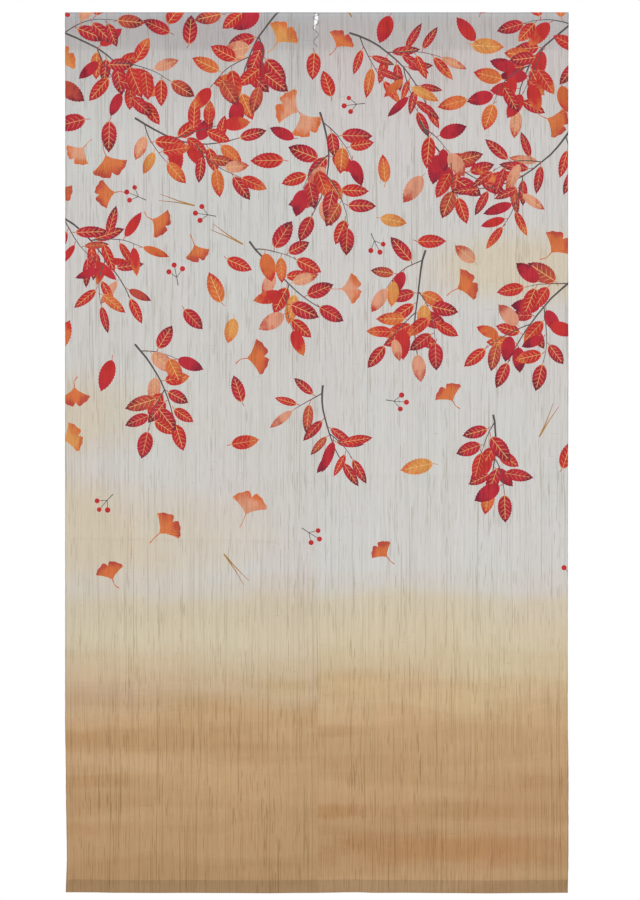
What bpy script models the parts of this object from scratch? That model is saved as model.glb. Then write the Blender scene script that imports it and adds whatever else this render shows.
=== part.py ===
"""A noren: two narrow widths of hemp cloth hung side by side, each with a rod pocket at its head.

The origin is the middle of the top fold. +Z is up, the front faces -Y, and sizes are in metres.
Each width is one sheet that hangs from its heading. The heading is the same cloth folded to the
back over a rod and sewn down, so it is an empty sleeve. A thread laces the two headings together.
"""

import math

import bmesh
import bpy

# Driving dimensions
WIDTH = 0.858
DROP = 1.500
CLOTH = 0.001
GAP = 0.0003

# Rod pocket
HEADING_DROP = 0.065
STITCHED_DROP = 0.005
POCKET_RADIUS = 0.008
POCKET_FLOOR = 0.0002
FLANK_STEPS = 7
CROWN_STEPS = 10
HEADING_STATIONS = 12
# The empty sleeve is a little flatter in places, by this share of its depth and this far apart
SLACK = 0.06
SLACK_LENGTH = 0.170
SLACK_EASE = 0.020

# Panel sheet
HEM_DROP = 0.0215
HEM_STEP = 0.0006
PANEL_COLUMNS = 22
PANEL_ROWS = 34
SLIT = 0.0006

# Lacing thread
THREAD_RADIUS = 0.0005
THREAD_CLEARANCE = 0.0003
POINTS_PER_STITCH = 4

# How far the outer edges stand in from the full width, by drop below the top
# drop, left, right
EDGE_DRAW_IN = (
    (0.000, 0.0002, 0.0006),
    (0.340, 0.0003, 0.0013),
    (0.620, 0.0001, 0.0006),
    (0.900, 0.0002, 0.0015),
    (1.190, 0.0001, 0.0017),
    (1.300, 0.0012, 0.0004),
    (1.440, 0.0030, 0.0006),
    (1.500, 0.0014, 0.0017),
)

# The inner ends of the two sleeves, which bow apart under the top and meet again lower down
# drop, end of the left sleeve, end of the right sleeve
SLEEVE_ENDS = (
    (0.000, -0.0012, -0.0006),
    (0.003, -0.0032, 0.0012),
    (0.008, -0.0038, 0.0020),
    (0.014, -0.0044, 0.0017),
    (0.020, -0.0046, -0.0004),
    (0.026, -0.0046, -0.0030),
    (0.031, -0.0040, -0.0034),
    (0.045, -0.0028, -0.0022),
    (0.065, -0.0023, -0.0017),
)

# The slit between the panels wanders from left of the middle to right of it
# drop, place across
SLIT_LINE = (
    (0.065, -0.0020),
    (0.420, -0.0016),
    (0.900, 0.0000),
    (1.500, 0.0018),
)

# The soft waves in which the cloth hangs, each leaning a little as it goes down
# depth at the hem, length across, place of a crest at the heading, lean across the drop
WAVES = (
    (0.0028, 0.410, 0.060, 0.045),
    (0.0013, 0.190, -0.120, -0.060),
    (0.0007, 0.094, 0.215, 0.030),
)
# How far each inner edge stands out at the hem, and how fast that dies away across the cloth
SLIT_CURL = 0.0016
CURL_REACH = 0.060
# Over 0, how late on the way down the waves and the curl grow
LATENESS = 0.8

# How much the hem's lower edge rises, by place across
# across, rise
HEM_RISE = (
    (-0.429, 0.0014),
    (-0.385, 0.0010),
    (-0.340, 0.0001),
    (0.000, 0.0003),
    (0.070, 0.0010),
    (0.100, 0.0003),
    (0.230, 0.0000),
    (0.429, 0.0004),
)

# Turning points of the thread, in front of the sleeves
# drop, place across
STITCHES = (
    (0.0020, -0.0046),
    (0.0045, 0.0036),
    (0.0100, -0.0064),
    (0.0180, 0.0034),
    (0.0270, -0.0068),
    (0.0385, 0.0024),
    (0.0500, -0.0056),
    (0.0610, 0.0004),
)

UNDYED = (0.585, 0.570, 0.545, 1.0)
HEADING_GREY = (0.450, 0.435, 0.425, 1.0)
THREAD_GREY = (0.330, 0.315, 0.300, 1.0)
SHARP_FROM = math.radians(50)


def cloth_material(name, colour, roughness):
    """A matt finish for cloth or thread."""
    material = bpy.data.materials.new(name)
    material.use_nodes = True
    material.diffuse_color = colour
    shader = material.node_tree.nodes["Principled BSDF"]
    shader.inputs["Base Color"].default_value = colour
    shader.inputs["Roughness"].default_value = roughness
    shader.inputs["Metallic"].default_value = 0.0
    return material


def read_table(table, place, column):
    """The value of one column at a place along the first column, eased from row to row."""
    if place <= table[0][0]:
        return table[0][column]
    for above, below in zip(table, table[1:]):
        if place <= below[0]:
            share = (place - above[0]) / (below[0] - above[0])
            share = share * share * (3 - 2 * share)
            return above[column] + share * (below[column] - above[column])
    return table[-1][column]


def outer_edge(side, drop):
    """Where the outer edge is: side is -1 on the left and 1 on the right."""
    column = 1 if side < 0 else 2
    return side * (WIDTH / 2 - read_table(EDGE_DRAW_IN, drop, column))


def slit_edge(side, drop):
    """Where a panel's inner edge is."""
    return read_table(SLIT_LINE, drop, 1) + side * SLIT / 2


def hem_drop(across):
    """How far down the lower edge hangs at this place across."""
    return DROP - read_table(HEM_RISE, across, 1)


def sway(across, drop):
    """How far back the cloth hangs. It is straight at the heading and free at the hem."""
    fall = max(drop - HEADING_DROP, 0.0) / (DROP - HEADING_DROP)
    depth = 0.0
    for height, length, crest, lean in WAVES:
        depth += height * math.cos(math.tau * (across - crest - lean * fall) / length)
    side = -1 if across < read_table(SLIT_LINE, drop, 1) else 1
    depth += side * SLIT_CURL * math.exp(-abs(across) / CURL_REACH)
    return depth * fall**LATENESS


def pocket_half(radius, foot, foot_drop):
    """One half of a loop of cloth over a rod, from its foot up to the crown, as (depth, drop)."""
    reach = math.hypot(foot, foot_drop - POCKET_RADIUS)
    lean = math.atan2(POCKET_RADIUS - foot_drop, foot) + math.acos(radius / reach)
    touch = (radius * math.cos(lean), POCKET_RADIUS - radius * math.sin(lean))
    half = []
    for step in range(FLANK_STEPS):
        share = step / FLANK_STEPS
        half.append((
            foot + share * (touch[0] - foot),
            foot_drop + share * (touch[1] - foot_drop),
        ))
    for step in range(CROWN_STEPS + 1):
        angle = lean + (math.pi / 2 - lean) * step / CROWN_STEPS
        half.append((radius * math.cos(angle), POCKET_RADIUS - radius * math.sin(angle)))
    return half


def mirrored(half):
    """The whole loop of a pocket: up the back, over the crown and down the front."""
    return half + [(-depth, drop) for depth, drop in reversed(half[:-1])]


def edge_loop(mesh, loop):
    """Draws a closed loop of (depth, drop) at x = 0 and returns its edges."""
    verts = [mesh.verts.new((0.0, depth, -drop)) for depth, drop in loop]
    return [mesh.edges.new(pair) for pair in zip(verts, verts[1:] + verts[:1])]


def finished(name, mesh, material, collection):
    """Makes a node of a bmesh, smooth but for its sharp edges."""
    data = bpy.data.meshes.new(name)
    mesh.to_mesh(data)
    mesh.free()
    data.shade_smooth()
    data.set_sharp_from_angle(angle=SHARP_FROM)
    data.materials.append(material)
    node = bpy.data.objects.new(name, data)
    collection.objects.link(node)
    return node


def flattened(across, drop):
    """How deep the sleeve is here, beside its full depth. Its stitched strip stays as it is."""
    free = min(max((HEADING_DROP - STITCHED_DROP - drop) / SLACK_EASE, 0.0), 1.0)
    return 1 - SLACK * free * (0.5 - 0.5 * math.cos(math.tau * across / SLACK_LENGTH))


def heading(name, side, material, collection):
    """A sleeve: its section is filled, drawn out to a length of 1 and fitted between its ends."""
    outer = mirrored([
        (CLOTH, HEADING_DROP),
        *pocket_half(POCKET_RADIUS, CLOTH, HEADING_DROP - STITCHED_DROP),
    ])
    inner = mirrored(pocket_half(
        POCKET_RADIUS - CLOTH, POCKET_FLOOR, HEADING_DROP - STITCHED_DROP - CLOTH,
    ))
    sleeve = bmesh.new()
    rims = edge_loop(sleeve, outer) + edge_loop(sleeve, inner)
    bmesh.ops.triangle_fill(sleeve, use_beauty=True, edges=rims)
    drawn = bmesh.ops.extrude_face_region(sleeve, geom=sleeve.faces[:])["geom"]
    far_end = [item for item in drawn if isinstance(item, bmesh.types.BMVert)]
    bmesh.ops.translate(sleeve, verts=far_end, vec=(1.0, 0.0, 0.0))
    along = [edge for edge in sleeve.edges if abs(edge.verts[0].co.x - edge.verts[1].co.x) > 0.5]
    bmesh.ops.subdivide_edges(
        sleeve, edges=along, cuts=HEADING_STATIONS - 1, use_grid_fill=True,
    )
    column = 1 if side < 0 else 2
    for vert in sleeve.verts:
        drop = -vert.co.z
        inner_end = read_table(SLEEVE_ENDS, drop, column)
        vert.co.x = inner_end + vert.co.x * (outer_edge(side, drop) - inner_end)
        vert.co.y *= flattened(vert.co.x, drop)
    bmesh.ops.recalc_face_normals(sleeve, faces=sleeve.faces)
    return finished(name, sleeve, material, collection)


def rows_above_hem():
    """The rows above the hem, as shares of the way down to it."""
    plain = PANEL_ROWS - 2
    return [row / plain for row in range(plain + 1)]


def panel(name, side, material, collection):
    """A sheet: a grid laid on the cloth's front, thickened to the back, twice over at the hem."""
    sheet = bmesh.new()
    bmesh.ops.create_grid(sheet, x_segments=PANEL_COLUMNS, y_segments=PANEL_ROWS, size=0.5)
    top = HEADING_DROP + GAP
    shares = rows_above_hem()
    hem = []
    for vert in sheet.verts:
        row = round((0.5 - vert.co.y) * PANEL_ROWS)
        across_share = vert.co.x + 0.5
        guess = outer_edge(side, DROP) * (across_share if side > 0 else 1 - across_share)
        turn = hem_drop(guess) - HEM_DROP
        if row < len(shares):
            drop = top + shares[row] * (turn - top)
        else:
            drop = (turn + HEM_STEP, hem_drop(guess))[row - len(shares)]
            hem.append(vert)
        ends = sorted((outer_edge(side, drop), slit_edge(side, drop)))
        across = ends[0] + across_share * (ends[1] - ends[0])
        vert.co = (across, sway(across, drop) - CLOTH, -drop)
    sheet.verts.index_update()
    doubled = [vert.index for vert in hem]
    node = finished(name, sheet, material, collection)
    node.vertex_groups.new(name="doubled").add(doubled, 1.0, "REPLACE")
    thickness = node.modifiers.new("cloth", "SOLIDIFY")
    thickness.thickness = 2 * CLOTH
    thickness.offset = -1.0
    thickness.vertex_group = "doubled"
    thickness.thickness_vertex_group = 0.5
    return node


def thread_depth(drop):
    """Where the thread's middle line runs at this drop, just clear of the sleeve's front."""
    away = THREAD_RADIUS + THREAD_CLEARANCE
    side = pocket_half(POCKET_RADIUS + away, CLOTH + away, HEADING_DROP - STITCHED_DROP)
    for below, above in zip(side, side[1:]):
        if above[1] <= drop <= below[1]:
            share = (drop - above[1]) / (below[1] - above[1])
            return -above[0] - share * (below[0] - above[0])
    return -CLOTH - away


def smooth_through(points):
    """Points along a smooth curve through the given ones."""
    ends = [points[0], *points, points[-1]]
    curve = []
    for before, start, end, after in zip(ends, ends[1:], ends[2:], ends[3:]):
        for step in range(POINTS_PER_STITCH):
            t = step / POINTS_PER_STITCH
            curve.append(tuple(
                0.5 * (
                    2 * b + (c - a) * t
                    + (2 * a - 5 * b + 4 * c - d) * t**2
                    + (3 * b - a - 3 * c + d) * t**3
                )
                for a, b, c, d in zip(before, start, end, after)
            ))
    return [*curve, points[-1]]


def lacing(name, material, collection):
    """One thread to and fro over the gap between the sleeves."""
    curve = bpy.data.curves.new(name, "CURVE")
    curve.dimensions = "3D"
    curve.bevel_depth = THREAD_RADIUS
    curve.bevel_resolution = 2
    curve.use_fill_caps = True
    spline = curve.splines.new("POLY")
    route = smooth_through([(across, drop) for drop, across in STITCHES])
    spline.points.add(len(route) - 1)
    for point, (across, drop) in zip(spline.points, route):
        point.co = (across, thread_depth(drop), -drop, 1.0)
    curve.materials.append(material)
    node = bpy.data.objects.new(name, curve)
    collection.objects.link(node)
    return node


def main():
    for old in list(bpy.data.objects):
        bpy.data.objects.remove(old, do_unlink=True)
    noren = bpy.data.collections.new("noren_curtain")
    bpy.context.scene.collection.children.link(noren)
    cloth = cloth_material("hemp_cloth", UNDYED, 0.9)
    doubled = cloth_material("doubled_cloth", HEADING_GREY, 0.9)
    thread = cloth_material("lacing_thread", THREAD_GREY, 0.85)
    for word, side in (("left", -1), ("right", 1)):
        panel(f"panel_{word}", side, cloth, noren)
        heading(f"heading_{word}", side, doubled, noren)
    lacing("lacing", thread, noren)


main()
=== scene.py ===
# %% [markdown]
# # A noren of hemp, printed with wind-blown leaves
# This lesson dresses the plain solids of a doorway curtain. The real one is two narrow widths of
# slubby hemp, hung side by side. Each has a rod pocket at its head and a turned hem at its foot.
# We start from the solids, because they fix the size and the place of every piece.

# %% Load the solids
import math
import random

import bpy
import numpy as np
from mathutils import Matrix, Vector, noise
from mathutils.geometry import delaunay_2d_cdt


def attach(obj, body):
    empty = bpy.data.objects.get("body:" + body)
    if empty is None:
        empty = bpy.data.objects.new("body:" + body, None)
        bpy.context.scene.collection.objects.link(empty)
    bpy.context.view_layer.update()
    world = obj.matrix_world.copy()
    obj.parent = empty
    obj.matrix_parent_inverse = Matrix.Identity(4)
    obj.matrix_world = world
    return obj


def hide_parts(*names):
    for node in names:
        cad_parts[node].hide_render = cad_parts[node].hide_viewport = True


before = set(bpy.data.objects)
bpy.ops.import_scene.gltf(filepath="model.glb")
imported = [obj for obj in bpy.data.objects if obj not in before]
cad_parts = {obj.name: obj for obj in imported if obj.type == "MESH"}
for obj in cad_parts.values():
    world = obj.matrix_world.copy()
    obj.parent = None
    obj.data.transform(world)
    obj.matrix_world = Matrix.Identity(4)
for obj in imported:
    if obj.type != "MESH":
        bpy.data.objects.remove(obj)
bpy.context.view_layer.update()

# %% [markdown]
# ## The camera
# The photo looks straight at the cloth, and its edges are straight and square. A long lens from far
# away gives that view. We know how many metres a pixel covers, so the lens follows from the
# distance, and the aim is the place on the cloth that lies at the middle of the picture.

# %% Camera
PIXELS_TALL = 900
METRES_PER_PIXEL = 0.0017026
CAMERA_DISTANCE = 6.5
SENSOR_MM = 36
AIM = Vector((0.0052, 0.0, -0.7456))

camera_data = bpy.data.cameras.new("front_camera")
camera_data.sensor_width = SENSOR_MM
camera_data.lens = SENSOR_MM * CAMERA_DISTANCE / (PIXELS_TALL * METRES_PER_PIXEL)
camera = bpy.data.objects.new("front_camera", camera_data)
camera.location = AIM + Vector((0.0, -CAMERA_DISTANCE, 0.0))
camera.rotation_euler = (math.radians(90), 0.0, 0.0)
bpy.context.scene.collection.objects.link(camera)
bpy.context.scene.camera = camera
print("lens:", round(camera_data.lens, 1), "mm")

# %% [markdown]
# ## The light
# The picture is lit evenly, on pure white. A white world gives most of the light, and a wide, soft
# sun from the upper left gives the folds a little shape. The camera sees the world brighter than the
# cloth does, so the ground stays white while the colours of the cloth come out as they were mixed.

# %% Studio light
FILL = 0.765
FILL_COLOUR = (0.985, 0.992, 1.0, 1.0)
GROUND_COLOUR = (1.0, 1.0, 1.0, 1.0)
SUN_SHARE = 0.36
SUN_TURN = (math.radians(48), 0.0, math.radians(-24))
SUN_WIDTH = math.radians(35)

bpy.context.scene.view_settings.view_transform = "Standard"
world = bpy.data.worlds.new("white_studio")
world.use_nodes = True
bpy.context.scene.world = world
sky = world.node_tree
sky.nodes.clear()
fill = sky.nodes.new("ShaderNodeBackground")
fill.inputs["Color"].default_value = FILL_COLOUR
fill.inputs["Strength"].default_value = FILL
ground = sky.nodes.new("ShaderNodeBackground")
ground.inputs["Color"].default_value = GROUND_COLOUR
ray = sky.nodes.new("ShaderNodeLightPath")
choice = sky.nodes.new("ShaderNodeMixShader")
output = sky.nodes.new("ShaderNodeOutputWorld")
sky.links.new(ray.outputs["Is Camera Ray"], choice.inputs["Fac"])
sky.links.new(fill.outputs["Background"], choice.inputs[1])
sky.links.new(ground.outputs["Background"], choice.inputs[2])
sky.links.new(choice.outputs["Shader"], output.inputs["Surface"])

sun_data = bpy.data.lights.new("soft_sun", "SUN")
sun_data.energy = SUN_SHARE * math.pi
sun_data.angle = SUN_WIDTH
sun = bpy.data.objects.new("soft_sun", sun_data)
sun.rotation_euler = SUN_TURN
bpy.context.scene.collection.objects.link(sun)
print("the world gives", FILL, "and the sun", SUN_SHARE, "of full light")

# %% [markdown]
# ## The floor
# The curtain hangs free, and the view from the front shows no floor. Other views look past the hem,
# so a wide pale disc lies well below it. A disc with a little thickness is enough, because only its
# top is ever seen. It is left unattached, so it never becomes a piece of the curtain.

# %% Floor
FLOOR_DROP = 1.90
FLOOR_RADIUS = 3.00
FLOOR_THICKNESS = 0.02
FLOOR_SIDES = 96
FLOOR_COLOUR = (0.80, 0.80, 0.79, 1.0)
FLOOR_ROUGHNESS = 0.8

bpy.ops.object.select_all(action="DESELECT")
bpy.ops.mesh.primitive_cylinder_add(
    vertices=FLOOR_SIDES, radius=FLOOR_RADIUS, depth=FLOOR_THICKNESS,
    location=(0.0, 0.0, -FLOOR_DROP - FLOOR_THICKNESS / 2),
)
floor = bpy.context.object
floor.name = "pale_floor"
floor_paint = bpy.data.materials.new("pale_floor")
floor_paint.use_nodes = True
floor_shader = floor_paint.node_tree.nodes["Principled BSDF"]
floor_shader.inputs["Base Color"].default_value = FLOOR_COLOUR
floor_shader.inputs["Roughness"].default_value = FLOOR_ROUGHNESS
floor.data.materials.append(floor_paint)
print("the floor lies", FLOOR_DROP, "m below the top fold")

# %% [markdown]
# ## The hang of the cloth
# The solids already hold the true hang: edges that wander, soft waves that grow towards the hem, and
# a pocket that stands open. The thin cloth follows the same sizes and tables, so it lies in the
# space of the solids. All places are given as across, the way to the right, and drop, the way down
# from the top fold.

# %% Sizes of the curtain
WIDTH = 0.858
DROP = 1.500
SOLID_CLOTH = 0.001
HEADING_DROP = 0.065
STITCHED_DROP = 0.005
POCKET_RADIUS = 0.008
SLACK = 0.06
SLACK_LENGTH = 0.170
SLACK_EASE = 0.020
HEM_DROP = 0.0215
SLIT = 0.00002
SLOT_END = 0.026
SLOT_EASE = 0.006
SLOT_CLOSING = 0.00025
SLIT_CURL = 0.0004
CURL_REACH = 0.060
LATENESS = 0.8

print(f"the curtain is {WIDTH} m wide and {DROP} m long, with a heading of {HEADING_DROP} m")

# %% Tables of the edges and waves
# How far the outer edges stand in from the full width
# drop, left, right
EDGE_DRAW_IN = (
    (0.000, 0.0002, 0.0006),
    (0.340, 0.0003, 0.0013),
    (0.620, 0.0001, 0.0006),
    (0.900, 0.0002, 0.0015),
    (1.190, 0.0001, 0.0017),
    (1.300, 0.0012, 0.0004),
    (1.440, 0.0030, 0.0006),
    (1.500, 0.0014, 0.0017),
)
# The inner ends of the two pockets
# drop, end of the left pocket, end of the right pocket
SLEEVE_ENDS = (
    (0.000, -0.0012, -0.0006),
    (0.003, -0.0032, 0.0012),
    (0.008, -0.0038, 0.0020),
    (0.014, -0.0044, 0.0017),
    (0.020, -0.0046, -0.0004),
    (0.026, -0.0046, -0.0030),
    (0.031, -0.0040, -0.0034),
    (0.045, -0.0028, -0.0022),
    (0.065, -0.0023, -0.0017),
)
# The slit between the widths
# drop, across
SLIT_LINE = (
    (0.065, -0.0020),
    (0.420, -0.0016),
    (0.900, 0.0000),
    (1.500, 0.0018),
)
# The soft waves in which the cloth hangs
# depth at the hem, length across, place of a crest at the heading, lean across the drop
WAVES = (
    (0.0028, 0.410, 0.060, 0.045),
    (0.0013, 0.190, -0.120, -0.060),
    (0.0007, 0.094, 0.215, 0.030),
)
# How much the hem's lower edge rises
# across, rise
HEM_RISE = (
    (-0.429, 0.0014),
    (-0.385, 0.0010),
    (-0.340, 0.0001),
    (0.000, 0.0003),
    (0.070, 0.0010),
    (0.100, 0.0003),
    (0.230, 0.0000),
    (0.429, 0.0004),
)
print(len(WAVES), "waves, the longest", WAVES[0][1], "m from crest to crest")


# %% Edges and waves
def eased(share):
    """A share from 0 to 1 that starts and ends softly."""
    share = min(max(share, 0.0), 1.0)
    return share * share * (3 - 2 * share)


def read_table(table, place, column):
    """The value of one column at a place along the first column, eased from row to row."""
    if place <= table[0][0]:
        return table[0][column]
    for above, below in zip(table, table[1:]):
        if place <= below[0]:
            share = eased((place - above[0]) / (below[0] - above[0]))
            return above[column] + share * (below[column] - above[column])
    return table[-1][column]


def outer_edge(side, drop):
    """Where the outer edge is: side is -1 on the left and 1 on the right."""
    return side * (WIDTH / 2 - read_table(EDGE_DRAW_IN, drop, 1 if side < 0 else 2))


def inner_edge(side, drop):
    """Where the inner edge is. Below the slot the widths all but touch."""
    if drop < HEADING_DROP:
        closing = SLOT_CLOSING * eased((drop - SLOT_END) / SLOT_EASE)
        return read_table(SLEEVE_ENDS, drop, 1 if side < 0 else 2) - side * closing
    return read_table(SLIT_LINE, drop, 1) + side * SLIT / 2


def sway(side, across, drop):
    """How far back the cloth hangs. It is straight at the heading and free at the hem."""
    fall = max(drop - HEADING_DROP, 0.0) / (DROP - HEADING_DROP)
    depth = side * SLIT_CURL * math.exp(-abs(across) / CURL_REACH)
    for height, length, crest, lean in WAVES:
        depth += height * math.cos(math.tau * (across - crest - lean * fall) / length)
    return depth * fall**LATENESS


def flattened(across, drop):
    """How deep the pocket is here, beside its full depth."""
    free = min(max((HEADING_DROP - STITCHED_DROP - drop) / SLACK_EASE, 0.0), 1.0)
    return 1 - SLACK * free * (0.5 - 0.5 * math.cos(math.tau * across / SLACK_LENGTH))


print("sway at the hem's outer corners:",
      [round(sway(side, side * WIDTH / 2, DROP), 4) for side in (-1, 1)])

# %% [markdown]
# ## From flat cloth to hung cloth
# A print lies on flat cloth, so we draw on the flat width and fold it afterwards. A place on it is
# across and length, where length is 0 along the top fold, grows down the front and is negative on
# the flap behind. One function folds such a place: over the crown, down the flank to the seam, down
# the panel, round the hem and up again behind. The cloth is half a millimetre thick here, as the
# real one is, and the two layers lie a tenth of a millimetre apart.

# %% Fold the pocket
THIN = 0.0005
LAYER_GAP = 0.0001
FRONT_LAYER = -SOLID_CLOTH + THIN / 2
BACK_LAYER = FRONT_LAYER + THIN + LAYER_GAP
CROWN_RADIUS = POCKET_RADIUS - THIN / 2
FOOT_DROP = HEADING_DROP - STITCHED_DROP
FLAP_END = 0.0045
HEM_FOLD = (THIN + LAYER_GAP) / 2


def pocket_side(foot):
    """One side of the pocket: where the cloth leaves the crown, and how long crown and flank are."""
    reach = math.hypot(foot, FOOT_DROP - POCKET_RADIUS)
    lean = math.atan2(POCKET_RADIUS - FOOT_DROP, foot) + math.acos(CROWN_RADIUS / reach)
    touch = (CROWN_RADIUS * math.cos(lean), POCKET_RADIUS - CROWN_RADIUS * math.sin(lean))
    crown = (math.pi / 2 - lean) * CROWN_RADIUS
    flank = math.hypot(touch[0] - foot, touch[1] - FOOT_DROP)
    return touch, crown, flank


def down_pocket(foot, length):
    """The depth and drop of a place this far from the crown, down one side of the pocket."""
    touch, crown, flank = pocket_side(foot)
    if length < crown:
        angle = math.pi / 2 - length / CROWN_RADIUS
        return CROWN_RADIUS * math.cos(angle), POCKET_RADIUS - CROWN_RADIUS * math.sin(angle)
    share = (length - crown) / flank
    if share < 1:
        return (touch[0] + share * (foot - touch[0]), touch[1] + share * (FOOT_DROP - touch[1]))
    return foot, FOOT_DROP + length - crown - flank


HEADING_LENGTH = sum(pocket_side(-FRONT_LAYER)[1:]) + STITCHED_DROP
FLAP_LENGTH = sum(pocket_side(BACK_LAYER)[1:]) + FLAP_END
STRAIGHT_END = HEADING_LENGTH + DROP - THIN / 2 - HEM_FOLD - HEADING_DROP
HEM_ROUND = STRAIGHT_END + math.pi * HEM_FOLD
CLOTH_END = HEM_ROUND + HEM_DROP - HEM_FOLD
print(f"a width is cut {FLAP_LENGTH + CLOTH_END:.3f} m long and {WIDTH / 2:.3f} m wide")

# %% [markdown]
# ## Cockles, dips and creases
# Hand-sewn hemp never hangs quite flat. It cockles a little, its folded top dips here and there, and
# a faint crease runs across each width from being kept folded up. A cloth simulation would give such
# marks too, but not in their real places. Noise does for the first two, which have no pattern, and
# the creases come from a short table: each rises slowly from above and falls back quickly below.

# %% Small unevenness
COCKLE = 0.0005
COCKLES_ACROSS = 22
COCKLES_DOWN = 7
COCKLE_EASE = 0.25
CROWN_DIP = 0.0007
CROWN_DIPS = 14
# Which slices of the noise are read, so that nothing repeats
COCKLE_SLICE = 3.7
CROWN_SLICE = 5.1
# The creases
# side, drop at the slit, slope, how far forward
CREASES = (
    (-1, 0.9006, 0.0144, 0.0007),
    (1, 0.7880, 0.0, 0.0006),
)
CREASE_RISE = 0.015
CREASE_FALL = 0.004
CREASES_ACROSS = 9
CREASE_MEAN = 0.8


def cockle(across, drop):
    """The small unevenness of hand-sewn hemp."""
    free = eased((drop - HEADING_DROP) / COCKLE_EASE)
    place = Vector((across * COCKLES_ACROSS, drop * COCKLES_DOWN, COCKLE_SLICE))
    return COCKLE * free * noise.noise(place)


def crease(side, across, drop):
    """How far forward a crease brings the cloth: slowly from above, and quickly back below."""
    forward = 0.0
    for of_side, middle, slope, height in CREASES:
        if of_side == side:
            below = drop - middle - slope * across
            share = 1 + below / CREASE_RISE if below < 0 else 1 - below / CREASE_FALL
            height *= CREASE_MEAN + noise.noise(Vector((across * CREASES_ACROSS, middle, 0.0)))
            forward += height * max(share, 0.0)
    return forward


def crown_dip(across, drop):
    """How much the folded top sinks here. Nothing is left of it at the seam."""
    share = max(1 - drop / FOOT_DROP, 0.0)
    dip = 0.5 + 0.5 * noise.noise(Vector((across * CROWN_DIPS, CROWN_SLICE, 0.0)))
    return CROWN_DIP * share * dip


print("the creases come forward by up to", max(row[3] for row in CREASES) * 1000, "mm")

# %% Hang a place of the flat cloth
RISE_EASE = 0.120


def drop_of(length):
    """How far below the top fold this length of cloth hangs, before the hem's own unevenness."""
    if length < 0:
        return down_pocket(BACK_LAYER, -length)[1]
    if length < HEADING_LENGTH:
        return down_pocket(-FRONT_LAYER, length)[1]
    if length < STRAIGHT_END:
        return HEADING_DROP + length - HEADING_LENGTH
    foot = DROP - THIN / 2 - HEM_FOLD
    if length < HEM_ROUND:
        return foot + HEM_FOLD * math.sin((length - STRAIGHT_END) / HEM_FOLD)
    return foot - (length - HEM_ROUND)


def hung(side, across, length):
    """The place in the room of a place on the flat cloth."""
    drop = drop_of(length)
    if length < 0:
        depth = down_pocket(BACK_LAYER, -length)[0] * flattened(across, drop)
        return (across, depth, -drop - crown_dip(across, drop))
    if length < HEADING_LENGTH:
        depth = down_pocket(-FRONT_LAYER, length)[0] * flattened(across, drop)
        return (across, -depth, -drop - crown_dip(across, drop))
    depth = FRONT_LAYER
    if length > HEM_ROUND:
        depth = BACK_LAYER
    elif length > STRAIGHT_END:
        depth += HEM_FOLD * (1 - math.cos((length - STRAIGHT_END) / HEM_FOLD))
    drop -= read_table(HEM_RISE, across, 1) * eased(1 - (DROP - drop) / RISE_EASE)
    depth += sway(side, across, drop) + cockle(across, drop) - crease(side, across, drop)
    return (across, depth, -drop)


print("the middle of the hem hangs at", [round(value, 4) for value in hung(1, WIDTH / 4, STRAIGHT_END)])

# %% [markdown]
# ## Drawing the leaves
# The print is a wind-gathered scatter, a traditional autumn pattern: toothed oval leaves on short
# sprigs, ginkgo fans, berries and pine needles. Each motif is drawn once as a short formula in its
# own small frame, where 0 is the base of the leaf and 1 its tip. Images would be simpler, but a
# drawn outline stays sharp at any distance.

# %% An oval leaf
TEETH = 9
TOOTH_NOTCH = 0.955
TOOTH_POINT = 1.045
TOOTH_LEAN = 0.014
OVAL_FULLNESS = 0.64
OVAL_BASE_POWER = 0.6
OVAL_TIP_POWER = 0.75
OVAL_TIP = 1.04


def oval_half(along):
    """Half the width of an oval leaf at a share of its length."""
    return OVAL_FULLNESS * along**OVAL_BASE_POWER * (1 - along)**OVAL_TIP_POWER


def oval_leaf():
    """A pointed oval with teeth that look towards the tip, as (along, across) points."""
    right = []
    for step in range(1, 2 * TEETH + 2):
        along = step / (2 * TEETH + 2)
        if step % 2:
            right.append((along, oval_half(along) * TOOTH_NOTCH))
        else:
            right.append((along + TOOTH_LEAN, oval_half(along) * TOOTH_POINT))
    left = [(along, -across) for along, across in reversed(right)]
    return [(0.0, 0.0), *right, (OVAL_TIP, 0.0), *left]


print("an oval leaf has", len(oval_leaf()), "points")

# %% A ginkgo fan
FAN_SPREAD = math.radians(57)
FAN_RIM_STEPS = 26
FAN_BASE = -0.02
FAN_REACH = 0.95
# The waves of the fan's rim
# height, how quickly they follow each other
FAN_WAVE = (0.035, 5.3)
FAN_RIPPLE = (0.018, 17)
FAN_NOTCH = 0.24
FAN_NOTCH_HALF = 0.09
FAN_CORNER = 0.10
FAN_CORNER_POWER = 6
# The hollow sides of the fan
# share of the way to the end of the rim, how far ahead, how far inwards
FAN_SIDES = (
    (0.30, 0.035, 0.035),
    (0.65, 0.030, 0.040),
)


def fan_side(end):
    """The hollow side of a fan, from its base to one end of its rim."""
    inwards = -1 if end[1] > 0 else 1
    return [
        (share * end[0] + ahead, share * end[1] + inwards * inset)
        for share, ahead, inset in FAN_SIDES
    ]


def ginkgo_fan():
    """A fan with a wavy rim, a notch in the middle and hollow sides."""
    rim = []
    for step in range(FAN_RIM_STEPS + 1):
        angle = FAN_SPREAD * (2 * step / FAN_RIM_STEPS - 1)
        wave = FAN_WAVE[0] * math.cos(FAN_WAVE[1] * angle)
        ripple = FAN_RIPPLE[0] * math.sin(FAN_RIPPLE[1] * angle)
        reach = FAN_REACH + wave + ripple
        reach -= FAN_NOTCH * math.exp(-(angle / FAN_NOTCH_HALF)**2)
        reach -= FAN_CORNER * (abs(angle) / FAN_SPREAD)**FAN_CORNER_POWER
        rim.append((reach * math.cos(angle), reach * math.sin(angle)))
    return [(FAN_BASE, 0.0), *fan_side(rim[0]), *rim, *fan_side(rim[-1])[::-1]]


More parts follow.
